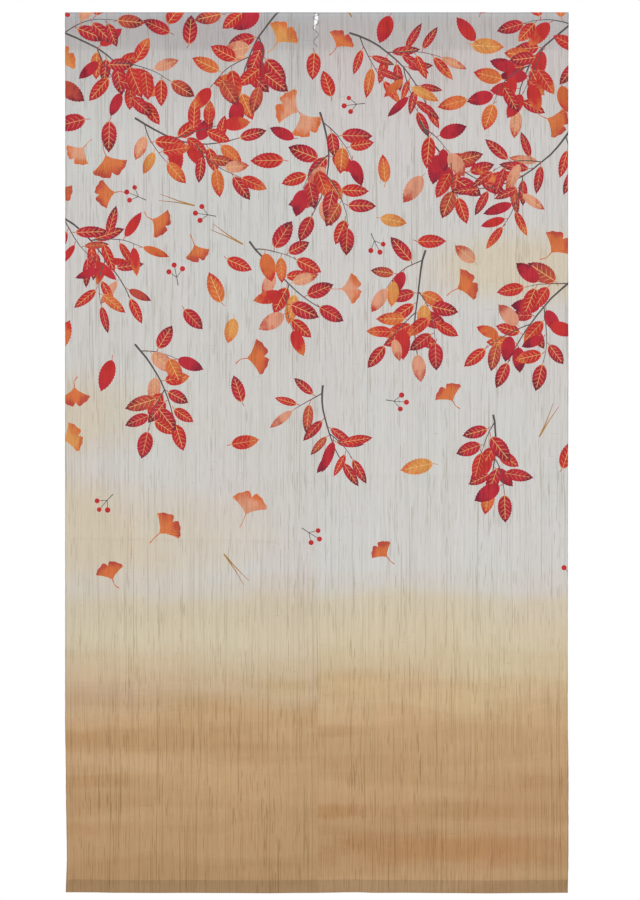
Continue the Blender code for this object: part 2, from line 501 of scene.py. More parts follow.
print("a fan has", len(ginkgo_fan()), "points")

# %% A berry and a brush line
BERRY_SIDES = 14


def berry():
    """A round berry."""
    turns = [math.tau * step / BERRY_SIDES for step in range(BERRY_SIDES)]
    return [(0.5 - 0.5 * math.cos(turn), 0.5 * math.sin(turn)) for turn in turns]


def brush_line(points, widths):
    """A brush line of changing width through (across, length) points, as a closed outline."""
    right, left = [], []
    for index, (point, width) in enumerate(zip(points, widths)):
        before = points[max(index - 1, 0)]
        after = points[min(index + 1, len(points) - 1)]
        way = Vector((after[0] - before[0], after[1] - before[1])).normalized()
        right.append((point[0] + way.y * width / 2, point[1] - way.x * width / 2))
        left.append((point[0] - way.y * width / 2, point[1] + way.x * width / 2))
    return right + left[::-1]


print("a berry has", len(berry()), "points")

# %% [markdown]
# ## Dyes
# The colours are mixed from a few dyes, written as they look on the cloth. Blender works in
# linear light, so each is turned into that first.

# %% Mix the dyes
def dye(red, green, blue):
    """A colour as it looks, from 0 to 255, in linear light."""
    return tuple(
        (level / 255 / 12.92) if level <= 10 else ((level / 255 + 0.055) / 1.055)**2.4
        for level in (red, green, blue)
    )


CRIMSON = dye(186, 48, 60)
SCARLET = dye(196, 54, 52)
BRICK = dye(188, 78, 64)
ORANGE = dye(213, 111, 64)
AMBER = dye(218, 147, 82)
PEACH = dye(220, 154, 126)
WINE = dye(128, 40, 58)
OLIVE = dye(126, 100, 58)
TWIG_GREY = dye(92, 87, 86)
NEEDLE_OCHRE = dye(176, 132, 72)
GOLD = dye(234, 190, 122)

# How often each leaf colour is used, and the colour of its tip
# share, leaf, tip
LEAF_DYES = (
    (0.42, CRIMSON, WINE),
    (0.27, SCARLET, CRIMSON),
    (0.08, BRICK, WINE),
    (0.08, SCARLET, ORANGE),
    (0.08, ORANGE, SCARLET),
    (0.02, AMBER, ORANGE),
    (0.05, PEACH, BRICK),
)
# share, fan, tip
FAN_DYES = (
    (0.45, ORANGE, BRICK),
    (0.20, AMBER, ORANGE),
    (0.15, ORANGE, OLIVE),
    (0.20, PEACH, ORANGE),
)


def pick(rows, chance):
    """The row that a chance from 0 to 1 falls on."""
    for row in rows:
        chance -= row[0]
        if chance <= 0:
            return row[1:]
    return rows[-1][1:]


print(len(LEAF_DYES), "dyes for leaves and", len(FAN_DYES), "for fans")

# %% [markdown]
# ## Laying out the print
# Each motif becomes a record: its outline on the flat cloth, its own frame, its colours and how
# strongly its veins are drawn. Later ones lie over earlier ones, as with a brush. The sprigs are
# placed from a short table, and single leaves then fill the gaps by seeded chance, close
# together near the head and ever sparser below, as if blown down.

# %% Records for the motifs
BLOWN_SEED = 58

blown = random.Random(BLOWN_SEED)
motifs = []


def add_motif(shape, across, length, turn, size, body, tip, veins=0.0, fan=0.0, stretch=1.0):
    """Lays a motif with its base at a place. Turn is 0 to the right and 90 degrees upwards."""
    way = Vector((math.cos(turn), -math.sin(turn))) * size
    beside = Vector((math.sin(turn), math.cos(turn))) * size * stretch
    base = Vector((across, length))
    outline = [base + way * u + beside * w for u, w in shape]
    motifs.append({
        "outline": outline, "base": base, "way": way / size**2,
        "beside": beside / (size * stretch)**2, "body": body, "tip": tip,
        "veins": veins, "fan": fan,
    })


def add_line(points, widths, body, tip):
    """Lays a brush line."""
    base = Vector(points[0])
    way = Vector(points[-1]) - base
    size = way.length
    motifs.append({
        "outline": [Vector(point) for point in brush_line(points, widths)],
        "base": base, "way": way / size**2, "beside": Vector((-way.y, way.x)) / size**2,
        "body": body, "tip": tip, "veins": 0.0, "fan": 0.0,
    })


def stalk_end(across, length, turn, reach):
    """The place a little way behind or ahead of another."""
    return across + math.cos(turn) * reach, length - math.sin(turn) * reach


# %% Lay a leaf or a fan
OVAL = oval_leaf()
STALK = 0.16
STALK_SWING = 0.5
STALK_WIDTHS = (0.0012, 0.0010)
LEAF_VEINS = (0.0, 0.7, 1.0, 1.0)
LEAF_STRETCH = (0.86, 1.10)
FAN = ginkgo_fan()
FAN_STALK = 0.30
FAN_STALK_BEND = 0.7
FAN_STALK_WIDTHS = (0.0020, 0.0012, 0.0016)
FAN_RAYS = (0.6, 1.0)
FAN_STRETCH = (0.9, 1.1)


def add_leaf(across, length, turn, size, fullness=1.0):
    """A toothed leaf on a short stalk, with its base at the place."""
    body, tip = pick(LEAF_DYES, blown.random())
    swing = blown.uniform(-STALK_SWING, STALK_SWING)
    back = stalk_end(across, length, turn + swing, -STALK * size)
    add_line([back, (across, length)], STALK_WIDTHS, body, tip)
    veins = blown.choice(LEAF_VEINS)
    stretch = fullness * blown.uniform(*LEAF_STRETCH)
    add_motif(OVAL, across, length, turn, size, body, tip, veins, stretch=stretch)


def add_fan(across, length, turn, size):
    """A ginkgo fan on a longer stalk, with its base at the place."""
    body, tip = pick(FAN_DYES, blown.random())
    bend = blown.uniform(-FAN_STALK_BEND, FAN_STALK_BEND)
    middle = stalk_end(across, length, turn, -FAN_STALK * size)
    back = stalk_end(*middle, turn + bend, -FAN_STALK * size)
    add_line([back, middle, (across, length)], FAN_STALK_WIDTHS, body, tip)
    veins = blown.choice(FAN_RAYS)
    stretch = blown.uniform(*FAN_STRETCH)
    add_motif(FAN, across, length, turn, size, body, tip, veins, 1.0, stretch)


print("the brush is ready, and", len(motifs), "motifs are laid")

# %% [markdown]
# ## Sprigs
# A sprig is a bent twig with a few side twigs and leaves to either side. Drawn by hand, each would
# need hundreds of points. So one function grows it from a row of a table, which says where it
# starts, which way it points, how far it reaches and how it bends. Seeded chance gives each leaf its
# own size and lean, and the same seed gives the same print every time.

# %% A twig
TWIG_STEPS = 10
TWIG_WANDER = 0.09
TWIG_THINNING = 0.6


def twig(across, drop, turn, length, bend, thick):
    """A bent twig, as its places and the way it points at each."""
    trail, turns = [(across, drop)], [turn]
    for index in range(TWIG_STEPS):
        turn += bend / TWIG_STEPS + blown.uniform(-TWIG_WANDER, TWIG_WANDER)
        trail.append(stalk_end(*trail[-1], turn, length / TWIG_STEPS))
        turns.append(turn)
    widths = [thick * (1 - TWIG_THINNING * index / TWIG_STEPS) for index in range(TWIG_STEPS + 1)]
    add_line(trail, widths, TWIG_GREY, TWIG_GREY)
    return trail, turns


# %% A twig with leaves
LEAF_SIZE = 0.053
LEAF_SPREAD = (0.80, 1.08)
LEAF_SHRINK = 0.16
LEAF_STEP = 0.030
LEAF_LEAN = (32, 74)
LEAF_OFF_TWIG = 0.007
LAST_PAIR = 0.97
TIP_LEAF = 0.86


def leafed_twig(across, drop, turn, length, bend, thick, bare, fullness):
    """A twig with leaves to either side, smaller ones towards its end, and one at its tip."""
    trail, turns = twig(across, drop, turn, length, bend, thick)
    leaves = max(2, round(length * (1 - bare) / LEAF_STEP * 2))
    for leaf in range(leaves):
        share = bare + (LAST_PAIR - bare) * leaf / leaves
        index = min(int(share * TWIG_STEPS), TWIG_STEPS - 1)
        way = turns[index] + (1 if leaf % 2 else -1) * math.radians(blown.uniform(*LEAF_LEAN))
        size = LEAF_SIZE * blown.uniform(*LEAF_SPREAD) * (1 - LEAF_SHRINK * share)
        add_leaf(*stalk_end(*trail[index], way, LEAF_OFF_TWIG), way, size, fullness)
    add_leaf(*trail[-1], turns[-1], LEAF_SIZE * TIP_LEAF, fullness)
    return trail, turns


# %% A branching sprig
MAIN_THICK = 0.0036
MAIN_BARE = 0.42
SIDE_THICK = 0.0020
SIDE_BARE = 0.25
SIDE_TWIG = 0.46
SIDE_REACH = (0.85, 1.15)
SIDE_LEAN = (38, 58)
SIDE_BEND = 0.5
SIDES_FROM = 0.16
SIDES_OVER = 0.52


def sprig(across, drop, degrees, length, bend, side_twigs, fullness):
    """A branching sprig. Its side twigs have chances of their own, seeded by its place."""
    turn, bend = math.radians(degrees), math.radians(bend)
    start = random.Random(round(1000 * (across + 2 * drop)))
    lean_first = start.choice((-1, 1))
    trail, turns = leafed_twig(across, drop, turn, length, bend, MAIN_THICK, MAIN_BARE, fullness)
    for number in range(side_twigs):
        share = SIDES_FROM + SIDES_OVER * number / max(side_twigs - 1, 1)
        index = int(share * TWIG_STEPS)
        side = lean_first * (1 if number % 2 else -1)
        way = turns[index] + side * math.radians(start.uniform(*SIDE_LEAN))
        reach = SIDE_TWIG * length * start.uniform(*SIDE_REACH)
        leafed_twig(*trail[index], way, reach, -side * SIDE_BEND, SIDE_THICK, SIDE_BARE, fullness)


# %% Place the sprigs
# The sprigs, with their cut end at a place and growing from there
# across, drop, degrees from the right, length, bend in degrees, side twigs, fullness of the leaves
SPRIGS = (
    (-0.450, 0.035, -10, 0.205, -50, 3, 1.00),
    (-0.050, -0.015, -135, 0.195, 45, 3, 1.05),
    (0.055, 0.040, -18, 0.185, -50, 3, 0.66),
    (0.448, 0.015, -152, 0.200, 45, 3, 1.00),
    (-0.310, 0.185, -35, 0.190, 40, 3, 0.95),
    (0.005, 0.175, -68, 0.185, -40, 3, 1.05),
    (0.175, 0.190, -70, 0.150, 45, 2, 1.00),
    (0.435, 0.200, -122, 0.200, -45, 3, 0.68),
    (-0.448, 0.345, -22, 0.200, -45, 3, 0.66),
    (-0.115, 0.395, -62, 0.165, 45, 2, 1.00),
    (0.185, 0.410, -112, 0.180, 40, 3, 1.00),
    (0.442, 0.455, -145, 0.190, 45, 3, 1.00),
    (-0.310, 0.570, -48, 0.155, -40, 2, 1.05),
    (0.010, 0.640, -100, 0.140, 40, 2, 0.70),
    (0.300, 0.690, -75, 0.125, -35, 2, 1.00),
)

for row in SPRIGS:
    sprig(*row)
sprig_motifs = len(motifs)
print(len(SPRIGS), "sprigs make", sprig_motifs, "motifs")

# %% [markdown]
# ## Single leaves, fans, needles and berries
# Between and below the sprigs lie single leaves, ginkgo fans, pairs of pine needles and berries.
# They could be placed by hand, but a scatter by chance looks more wind-blown. Many places are tried,
# and one is kept only if it is far enough from all that are taken. The distance grows down the
# cloth, which thins the print out. Nothing is printed down the lacing.

# %% Lay needles and berries
NEEDLE = 0.062
NEEDLE_HALF = 0.030
NEEDLE_OPENING = 0.09
NEEDLE_BEND = 0.6
NEEDLE_WIDTHS = (0.0024, 0.0017, 0.0007)
BERRY = berry()
BERRY_SIZE = 0.0085
BERRY_SPREAD = (0.9, 1.1)
BERRY_STALK = 0.014
BERRY_STALK_WIDTHS = (0.0016, 0.0012)
# The forks of the stalk
# lean, reach
BERRY_FORKS = (
    (-0.75, 0.013),
    (0.05, 0.017),
    (0.80, 0.012),
)


def needles(across, length, turn):
    """Two pine needles from one sheath."""
    for open_by in (-NEEDLE_OPENING, NEEDLE_OPENING):
        far = stalk_end(across, length, turn + open_by, NEEDLE)
        half = stalk_end(across, length, turn + open_by * NEEDLE_BEND, NEEDLE_HALF)
        add_line([(across, length), half, far], NEEDLE_WIDTHS, NEEDLE_OCHRE, BRICK)


def berries(across, length, turn):
    """Three berries on forked stalks."""
    fork = stalk_end(across, length, turn, BERRY_STALK)
    add_line([(across, length), fork], BERRY_STALK_WIDTHS, TWIG_GREY, TWIG_GREY)
    for lean, reach in BERRY_FORKS:
        end = stalk_end(*fork, turn + lean, reach)
        add_line([fork, end], STALK_WIDTHS, TWIG_GREY, TWIG_GREY)
        size = BERRY_SIZE * blown.uniform(*BERRY_SPREAD)
        add_motif(BERRY, *end, turn + lean, size, SCARLET, CRIMSON)


# %% Scatter the single motifs
FAN_SIZE = 0.038
FAN_SIZE_SPREAD = (0.8, 1.1)
SINGLE_SPREAD = (0.8, 1.05)
SINGLES_ACROSS = 0.44
SINGLES_START = -0.02
SINGLES_END = 0.970
TRIES = 2600
# Of single motifs, up to which chance each kind is laid, and the rest are berries
LEAVES_TO = 0.40
FANS_TO = 0.74
NEEDLES_TO = 0.86
# Down the lacing, where nothing is printed
BARE_DROPS = (-0.020, 0.005, 0.030, 0.055)
# How far apart single motifs are, by how far down they lie
# drop, distance
SPACING = (
    (0.000, 0.038),
    (0.400, 0.046),
    (0.700, 0.066),
    (0.850, 0.100),
    (1.000, 0.150),
)


def middle_of(motif):
    """The middle of a motif's outline."""
    total = Vector((0.0, 0.0))
    for point in motif["outline"]:
        total += point
    return total / len(motif["outline"])


taken = [middle_of(motif) for motif in motifs]
taken += [Vector((0.0, drop)) for drop in BARE_DROPS]
for attempt in range(TRIES):
    across = blown.uniform(-SINGLES_ACROSS, SINGLES_ACROSS)
    drop = blown.uniform(SINGLES_START, SINGLES_END)
    turn = blown.uniform(0, math.tau)
    kind = blown.random()
    here = Vector((across, drop))
    if min((here - other).length for other in taken) < read_table(SPACING, drop, 1):
        continue
    taken.append(here)
    if kind < LEAVES_TO:
        size = LEAF_SIZE * blown.uniform(*SINGLE_SPREAD)
        add_leaf(*stalk_end(across, drop, turn, -size / 2), turn, size)
    elif kind < FANS_TO:
        size = FAN_SIZE * blown.uniform(*FAN_SIZE_SPREAD)
        add_fan(*stalk_end(across, drop, turn, -size / 2), turn, size)
    elif kind < NEEDLES_TO:
        needles(*stalk_end(across, drop, turn, -NEEDLE_HALF), turn)
    else:
        berries(*stalk_end(across, drop, turn, -BERRY_STALK), turn)
print(len(motifs) - sprig_motifs, "more motifs fill the gaps")

# %% [markdown]
# ## The two widths
# Each width is one sheet. Its outline, a net of points and all the motifs go into one triangulation,
# which cuts the cloth along every drawn edge. Every triangle then knows which motif lies on top of
# it, so the cloth's own material can paint it, with nothing laid over the cloth. The net is fine
# where the cloth turns, at the crown, the creases and the hem, and about a centimetre wide elsewhere.
# Its edges are selvedges, which the weaver's thread draws in by small nicks.

# %% Edges with nicks
NICK = 0.0007
NICKS_DOWN = 75
NICK_SLICE = 11.3
OUTER_NICKS = 2.0
INNER_NICKS = 7.0
INNER_NICK = 0.04


def nick(side, which, length):
    """How far a selvedge draws in here."""
    return NICK * abs(noise.noise(Vector((length * NICKS_DOWN, NICK_SLICE * side, which))))


def edges_at(side, length):
    """The outer and the inner edge at a length of cloth."""
    drop = drop_of(length)
    outer = outer_edge(side, drop) - side * nick(side, OUTER_NICKS, length)
    inner = inner_edge(side, drop) + side * INNER_NICK * nick(side, INNER_NICKS, length)
    return outer, inner


print("half way down, the left width's edges are at",
      [round(edge, 4) for edge in edges_at(-1, DROP / 2)])

# %% Rows of the net
NET = 0.0115
CREASE_NET = 0.0019
CROWN_NET = 0.0018
EDGE_NET = 0.006
# Where rows lie down a flank of the pocket, by the feet of the pocket and by the fold of the hem
FLANK_SHARES = (0.2, 0.4, 0.6, 0.8)
BACK_FOOT_ROW = 0.003
FRONT_FOOT_ROWS = (-0.002, 0.0, 0.0025)
HEM_ROWS = (0.003, 0.011)
HEM_TURNS = 6


def row_lengths():
    """The rows of the net, from the end of the flap to the end of the hem."""
    crown = pocket_side(-FRONT_LAYER)[1]
    back_foot = sum(pocket_side(BACK_LAYER)[1:])
    front_foot = HEADING_LENGTH - STITCHED_DROP
    rows = [-FLAP_LENGTH, -back_foot, BACK_FOOT_ROW - back_foot]
    rows += [-crown - (back_foot - crown) * share for share in FLANK_SHARES]
    turns = int(2 * crown / CROWN_NET)
    rows += [crown * (2 * step / turns - 1) for step in range(turns + 1)]
    rows += [crown + (front_foot - crown) * share for share in FLANK_SHARES]
    rows += [front_foot + offset for offset in FRONT_FOOT_ROWS]
    panel = STRAIGHT_END - HEM_DROP - HEADING_LENGTH
    steps = round(panel / NET)
    rows += [HEADING_LENGTH + panel * step / steps for step in range(steps + 1)]
    rows += [STRAIGHT_END - offset for offset in HEM_ROWS]
    fold = HEM_ROUND - STRAIGHT_END
    rows += [STRAIGHT_END + fold * step / HEM_TURNS for step in range(HEM_TURNS + 1)]
    rows += [HEM_ROUND + offset for offset in HEM_ROWS]
    rows.append(CLOTH_END)
    for _, middle, slope, _ in CREASES:
        low = HEADING_LENGTH - HEADING_DROP + middle - CREASE_RISE - slope * WIDTH / 2
        steps = round((CREASE_RISE + CREASE_FALL + slope * WIDTH / 2) / CREASE_NET)
        near = [low + CREASE_NET * step for step in range(steps + 2)]
        rows += [row for row in near if min(abs(row - other) for other in rows) > CREASE_NET / 3]
    return sorted(rows)


def along_edge(rows):
    """The rows, with more between them so that an edge is smooth."""
    lengths = []
    for above, below in zip(rows, rows[1:]):
        parts = max(1, round((below - above) / EDGE_NET))
        lengths += [above + (below - above) * part / parts for part in range(parts)]
    return lengths + [rows[-1]]


print("the net has", len(row_lengths()), "rows")

# %% Points of the net
CROWN_NET_ACROSS = 0.0035
CROWN_REACH = 0.0125
EDGE_CLEAR = 0.0045


def marks_across(side, pitch):
    """Where the points of the net stand in a row."""
    columns = round(WIDTH / 2 / pitch)
    return [side * WIDTH / 2 * column / columns for column in range(1, columns)]


def net_points(side, rows):
    """The points of the net inside a width, closer together over the crown."""
    marks = marks_across(side, NET)
    crown_marks = marks_across(side, CROWN_NET_ACROSS)
    points = []
    for length in rows[1:-1]:
        low, high = sorted(edges_at(side, length))
        points += [
            Vector((mark, length)) for mark in (crown_marks if abs(length) < CROWN_REACH else marks)
            if low + EDGE_CLEAR < mark < high - EDGE_CLEAR
        ]
    return points


def edge_outline(side, rows):
    """The edge of a width, all the way round."""
    lengths = along_edge(rows)
    marks = marks_across(side, NET)
    outer = [(edges_at(side, length)[0], length) for length in lengths]
    inner = [(edges_at(side, length)[1], length) for length in reversed(lengths)]
    flap_end = [(mark, rows[0]) for mark in marks]
    hem_end = [(mark, rows[-1]) for mark in marks[::-1]]
    return [*flap_end, *outer, *hem_end, *inner]


print("a row has", len(marks_across(1, NET)), "points, and", len(marks_across(1, CROWN_NET_ACROSS)),
      "over the crown")

# %% What lies inside an outline
def covered(outline, centres):
    """Which centres lie inside an outline, found by counting the edges to their right."""
    inside = np.zeros(len(centres), dtype=bool)
    for here, there in zip(outline, [*outline[1:], outline[0]]):
        if here[1] == there[1]:
            continue
        beside = (here[1] > centres[:, 1]) != (there[1] > centres[:, 1])
        slope = (there[0] - here[0]) / (there[1] - here[1])
        inside ^= beside & (centres[:, 0] < here[0] + (centres[:, 1] - here[1]) * slope)
    return inside


def top_motifs(centres, numbers):
    """The number of the motif that lies on top at each centre, or -1."""
    owners = np.full(len(centres), -1)
    for number in numbers:
        shape = motifs[number]["outline"]
        box = np.array([point[:] for point in shape])
        in_box = (centres > box.min(axis=0)) & (centres < box.max(axis=0))
        close = np.nonzero(in_box.all(axis=1))[0]
        owners[close[covered(shape, centres[close])]] = number
    return owners


# %% Cut a width
TOUCHING = 1e-7


def bent_over_crown(outline):
    """An outline with more points near the crown, so that it bends with the cloth."""
    fuller = []
    for here, there in zip(outline, [*outline[1:], outline[0]]):
        over = here[1] * there[1] < 0 or min(abs(here[1]), abs(there[1])) < CROWN_REACH
        parts = math.ceil((there - here).length / CROWN_NET) if over else 1
        fuller += [here + (there - here) * (part / max(parts, 1)) for part in range(max(parts, 1))]
    return fuller


def closed(outline, first):
    """The edges of a closed outline whose points start at a number."""
    last = first + len(outline) - 1
    return [(number, number + 1) for number in range(first, last)] + [(last, first)]


def cut_width(side):
    """Places on the flat cloth, and triangles between them with the number of the motif on top."""
    rows = row_lengths()
    outline = edge_outline(side, rows)
    points = [Vector(place) for place in outline] + net_points(side, rows)
    lines = closed(outline, 0)
    near = [
        number for number, motif in enumerate(motifs)
        if any(side * point[0] > -EDGE_CLEAR for point in motif["outline"])
    ]
    for number in near:
        shape = bent_over_crown(motifs[number]["outline"])
        lines += closed(shape, len(points))
        points += shape
    cut = delaunay_2d_cdt(points, lines, [], 0, TOUCHING, True)
    places, triangles = cut[0], cut[2]
    centres = np.array([place[:] for place in places])[np.array(triangles)].mean(axis=1)
    owners = top_motifs(centres, near)
    inside = np.nonzero(covered(outline, centres))[0]
    kept = [(triangles[number], owners[number]) for number in inside]
    used = sorted({corner for corners, owner in kept for corner in corners})
    new_number = {old: new for new, old in enumerate(used)}
    kept = [([new_number[corner] for corner in corners], owner) for corners, owner in kept]
    return [places[old] for old in used], kept


# %% Fold a width
CLEAR = (0.0, 0.0, 0.0, 0.0)


def store(mesh, name, kind, domain, field, values):
    """Keeps a value for each point or corner of the mesh under a name."""
    mesh.attributes.new(name, kind, domain).data.foreach_set(field, values)


def width_of_cloth(name, side):
    """A width, folded and hung, with what its material needs to know stored on its mesh."""
    places, kept = cut_width(side)
    mesh = bpy.data.meshes.new(name)
    mesh.from_pydata(
        [hung(side, *place) for place in places], [], [corners[::-1] for corners, owner in kept],
    )
    uvs, own_places, bodies, tips = [], [], [], []
    for corners, owner in kept:
        motif = motifs[owner] if owner >= 0 else None
        for corner in corners[::-1]:
            place = places[corner]
            uvs += place[:]
            if motif is None:
                own_places += CLEAR[:3]
                bodies += CLEAR
                tips += CLEAR
                continue
            away = place - motif["base"]
            own_places += (away.dot(motif["way"]), away.dot(motif["beside"]), motif["veins"])
            bodies += (*motif["body"], 1.0)
            tips += (*motif["tip"], motif["fan"])
    distances = [abs(place[0] - edges_at(side, place[1])[0]) for place in places]
    mesh.uv_layers.new(name="cloth_metres").data.foreach_set("uv", uvs)
    store(mesh, "motif_place", "FLOAT_VECTOR", "CORNER", "vector", own_places)
    store(mesh, "motif_body", "FLOAT_COLOR", "CORNER", "color", bodies)
    store(mesh, "motif_tip", "FLOAT_COLOR", "CORNER", "color", tips)
    store(mesh, "from_edge", "FLOAT", "POINT", "value", distances)
    width = bpy.data.objects.new(name, mesh)
    bpy.context.scene.collection.objects.link(width)
    return width


left_width = width_of_cloth("left_width", -1)
right_width = width_of_cloth("right_width", 1)
print("triangles before they get a thickness:",
      len(left_width.data.polygons), len(right_width.data.polygons))

# %% [markdown]
# ## Small helpers for nodes
# A material is a tree of nodes. Written out one by one, the cloth's would fill pages, so a few
# helpers take up what repeats: one adds a node, one joins a socket or gives it a value, and each of
# the others stands for one step of arithmetic, one soft step, one blend or one noise.

# %% Small helpers for nodes
def new_node(tree, kind, **settings):
    """Adds a node and sets what is named."""
    node = tree.nodes.new(kind)
    for name, value in settings.items():
        setattr(node, name, value)
    return node


def feed(tree, socket, value):
    """Joins a socket to another one, or gives it a value."""
    if isinstance(value, bpy.types.NodeSocket):
        tree.links.new(value, socket)
    else:
        socket.default_value = value


def count(tree, operation, *values):
    """One step of arithmetic."""
    node = new_node(tree, "ShaderNodeMath", operation=operation)
    for socket, value in zip(node.inputs, values):
        feed(tree, socket, value)
    return node.outputs[0]


def added(tree, base, value, depth):
    """A base with a value of this depth added."""
    return count(tree, "MULTIPLY_ADD", value, depth, base)


def centred(tree, value, depth):
    """A value from 0 to 1 as a change of this depth about nothing."""
    return added(tree, -depth / 2, value, depth)


def between(tree, value, low, high, to_low=0.0, to_high=1.0):
    """A soft step from low to high."""
    node = new_node(tree, "ShaderNodeMapRange", interpolation_type="SMOOTHSTEP")
    for socket, number in zip(node.inputs, (value, low, high, to_low, to_high)):
        feed(tree, socket, number)
    return node.outputs["Result"]


def blended(tree, share, first, second, mode="MIX"):
    """Two colours, the second one over the first."""
    node = new_node(tree, "ShaderNodeMix", data_type="RGBA", blend_type=mode)
    for name, value in (("Factor_Float", share), ("A_Color", first), ("B_Color", second)):
        socket = next(s for s in node.inputs if s.identifier == name)
        if isinstance(value, tuple):
            value = (*value, 1.0)
        feed(tree, socket, value)
    return next(s for s in node.outputs if s.identifier == "Result_Color")


def uneven(tree, place, pattern, side=1):
    """Noise on the flat cloth. A pattern is its changes to the metre across and down, its detail,
    and a shift that keeps it apart from the others."""
    across, down, detail, shift = pattern
    scaled = new_node(tree, "ShaderNodeMapping")
    feed(tree, scaled.inputs["Vector"], place)
    scaled.inputs["Scale"].default_value = (across, down, 1.0)
    scaled.inputs["Location"].default_value = (shift * side, shift * side, 0.0)
    node = new_node(tree, "ShaderNodeTexNoise", noise_dimensions="2D")
    feed(tree, node.inputs["Vector"], scaled.outputs["Vector"])
    node.inputs["Scale"].default_value = 1.0
    node.inputs["Detail"].default_value = detail
    return node.outputs["Fac"]


# %% [markdown]
# ## The brushed dye
# The dye was brushed on wet: undyed at the head, shading to tan at the foot, with soft hazes at the
# sides and the edges of brush strokes in the tan. A colour ramp down the cloth gives the shading,
# and noise unsettles its level. Near the top fold the ramp also holds painted shade, darker and
# greyer than the dye. A haze or a stroke is a rounded patch laid over it, with a ragged rim.
# The two widths didn't come out quite alike, so each has its own tones, hazes and strokes. All of it
# reads the flat cloth's own map, in metres, and so it follows the cloth over the crown and round the
# hem.

# %% Tones, hazes and strokes
# The dye from the head down to the hem, with painted shade in the first rows, which grow darker and
# greyer towards the top fold
# drop, red, green and blue on the left width, then on the right one
DYE_AND_SHADE_STOPS = (
    (0.000, (183, 183, 187), (186, 187, 189)),
    (0.040, (188, 184, 183), (195, 190, 188)),
    (0.100, (195, 192, 190), (201, 194, 192)),
    (0.230, (205, 203, 200), (207, 203, 200)),
    (0.950, (207, 203, 198), (208, 206, 202)),
    (0.985, (206, 198, 187), (208, 203, 196)),
    (1.030, (206, 193, 169), (209, 196, 173)),
    (1.090, (208, 194, 168), (210, 194, 165)),
    (1.128, (204, 184, 155), (206, 187, 155)),
    (1.160, (199, 174, 143), (202, 176, 139)),
    (1.225, (192, 158, 118), (196, 163, 124)),
    (1.370, (188, 153, 114), (188, 152, 113)),
    (1.430, (181, 146, 107), (183, 147, 108)),
)
BEIGE = dye(208, 195, 172)
CREAM = dye(211, 198, 176)
STRAW = dye(201, 175, 134)
MAUVE_TAN = dye(193, 167, 138)
PALE_TAN = dye(194, 161, 124)
DEEP_TAN = dye(182, 144, 103)
RUSSET = dye(174, 130, 88)
# The soft hazes
# side, across, drop, half width, half height, strength, dye
HAZES = (
    (-1, -0.470, 0.700, 0.330, 0.100, 0.80, BEIGE),
    (-1, -0.480, 0.880, 0.400, 0.125, 0.95, BEIGE),
    (1, 0.340, 0.440, 0.260, 0.085, 0.90, CREAM),
)
# The brush strokes that stand out in the tan
# side, across, drop, half width, half height, strength, dye
STROKES = (
    (-1, -0.050, 1.156, 0.048, 0.018, 0.50, STRAW),
    (-1, -0.355, 1.160, 0.090, 0.022, 0.45, MAUVE_TAN),
    (-1, -0.330, 1.242, 0.210, 0.024, 0.60, DEEP_TAN),
    (-1, -0.140, 1.242, 0.065, 0.032, 0.45, DEEP_TAN),
    (-1, -0.344, 1.284, 0.120, 0.020, 0.70, PALE_TAN),
    (-1, -0.380, 1.315, 0.075, 0.014, 0.65, DEEP_TAN),
    (-1, -0.327, 1.350, 0.085, 0.013, 0.35, DEEP_TAN),
    (-1, -0.371, 1.399, 0.110, 0.016, 0.75, DEEP_TAN),
    (-1, -0.156, 1.421, 0.150, 0.014, 0.40, DEEP_TAN),
    (1, 0.065, 1.153, 0.080, 0.016, 0.45, STRAW),
    (1, 0.227, 1.173, 0.115, 0.016, 0.45, STRAW),
    (1, 0.000, 1.226, 0.085, 0.012, 0.45, DEEP_TAN),
    (1, 0.060, 1.280, 0.100, 0.014, 0.35, DEEP_TAN),
    (1, 0.383, 1.316, 0.055, 0.013, 0.50, DEEP_TAN),
    (1, 0.160, 1.367, 0.230, 0.017, 0.55, DEEP_TAN),
    (1, 0.000, 1.368, 0.110, 0.016, 0.65, RUSSET),
    (1, 0.330, 1.366, 0.150, 0.016, 0.40, DEEP_TAN),
    (1, 0.225, 1.431, 0.240, 0.035, 0.60, RUSSET),
    (1, 0.220, 1.432, 0.170, 0.023, 0.60, RUSSET),
)
print(len(DYE_AND_SHADE_STOPS), "tones,", len(HAZES), "hazes and", len(STROKES), "strokes")

# %% A patch of dye
# How square a patch is: 2 is an oval
HAZE_CORNERS = 2.0
STROKE_CORNERS = 4.0
# Where a patch is whole and where it ends, as shares of its size
HAZE_RIM = (0.25, 1.05)
STROKE_RIM = (0.45, 1.10)


def patch_reach(tree, across, length, shape, corners):
    """How far a place is from the middle of a patch, which is 1 at its rim."""
    centre, drop, half_width, half_height = shape
    aside = count(tree, "DIVIDE", count(tree, "SUBTRACT", across, centre), half_width)
    below = count(tree, "DIVIDE", count(tree, "SUBTRACT", length, drop), half_height)
    total = count(tree, "ADD", count(tree, "POWER", count(tree, "ABSOLUTE", aside), corners),
                  count(tree, "POWER", count(tree, "ABSOLUTE", below), corners))
    return count(tree, "POWER", total, 1 / corners)


def patched(tree, side, table, colour, across, length, corners, rim, rough):
    """The patches of one width, laid over a colour."""
    for of_side, *shape, strength, patch_dye in table:
        if of_side == side:
            reach = count(tree, "ADD", patch_reach(tree, across, length, shape, corners), rough)
            colour = blended(tree, between(tree, reach, *rim, strength, 0.0), colour, patch_dye)
    return colour


# %% The tones down the cloth
LEVEL_WIDE = 0.075
LEVEL_FINE = 0.016


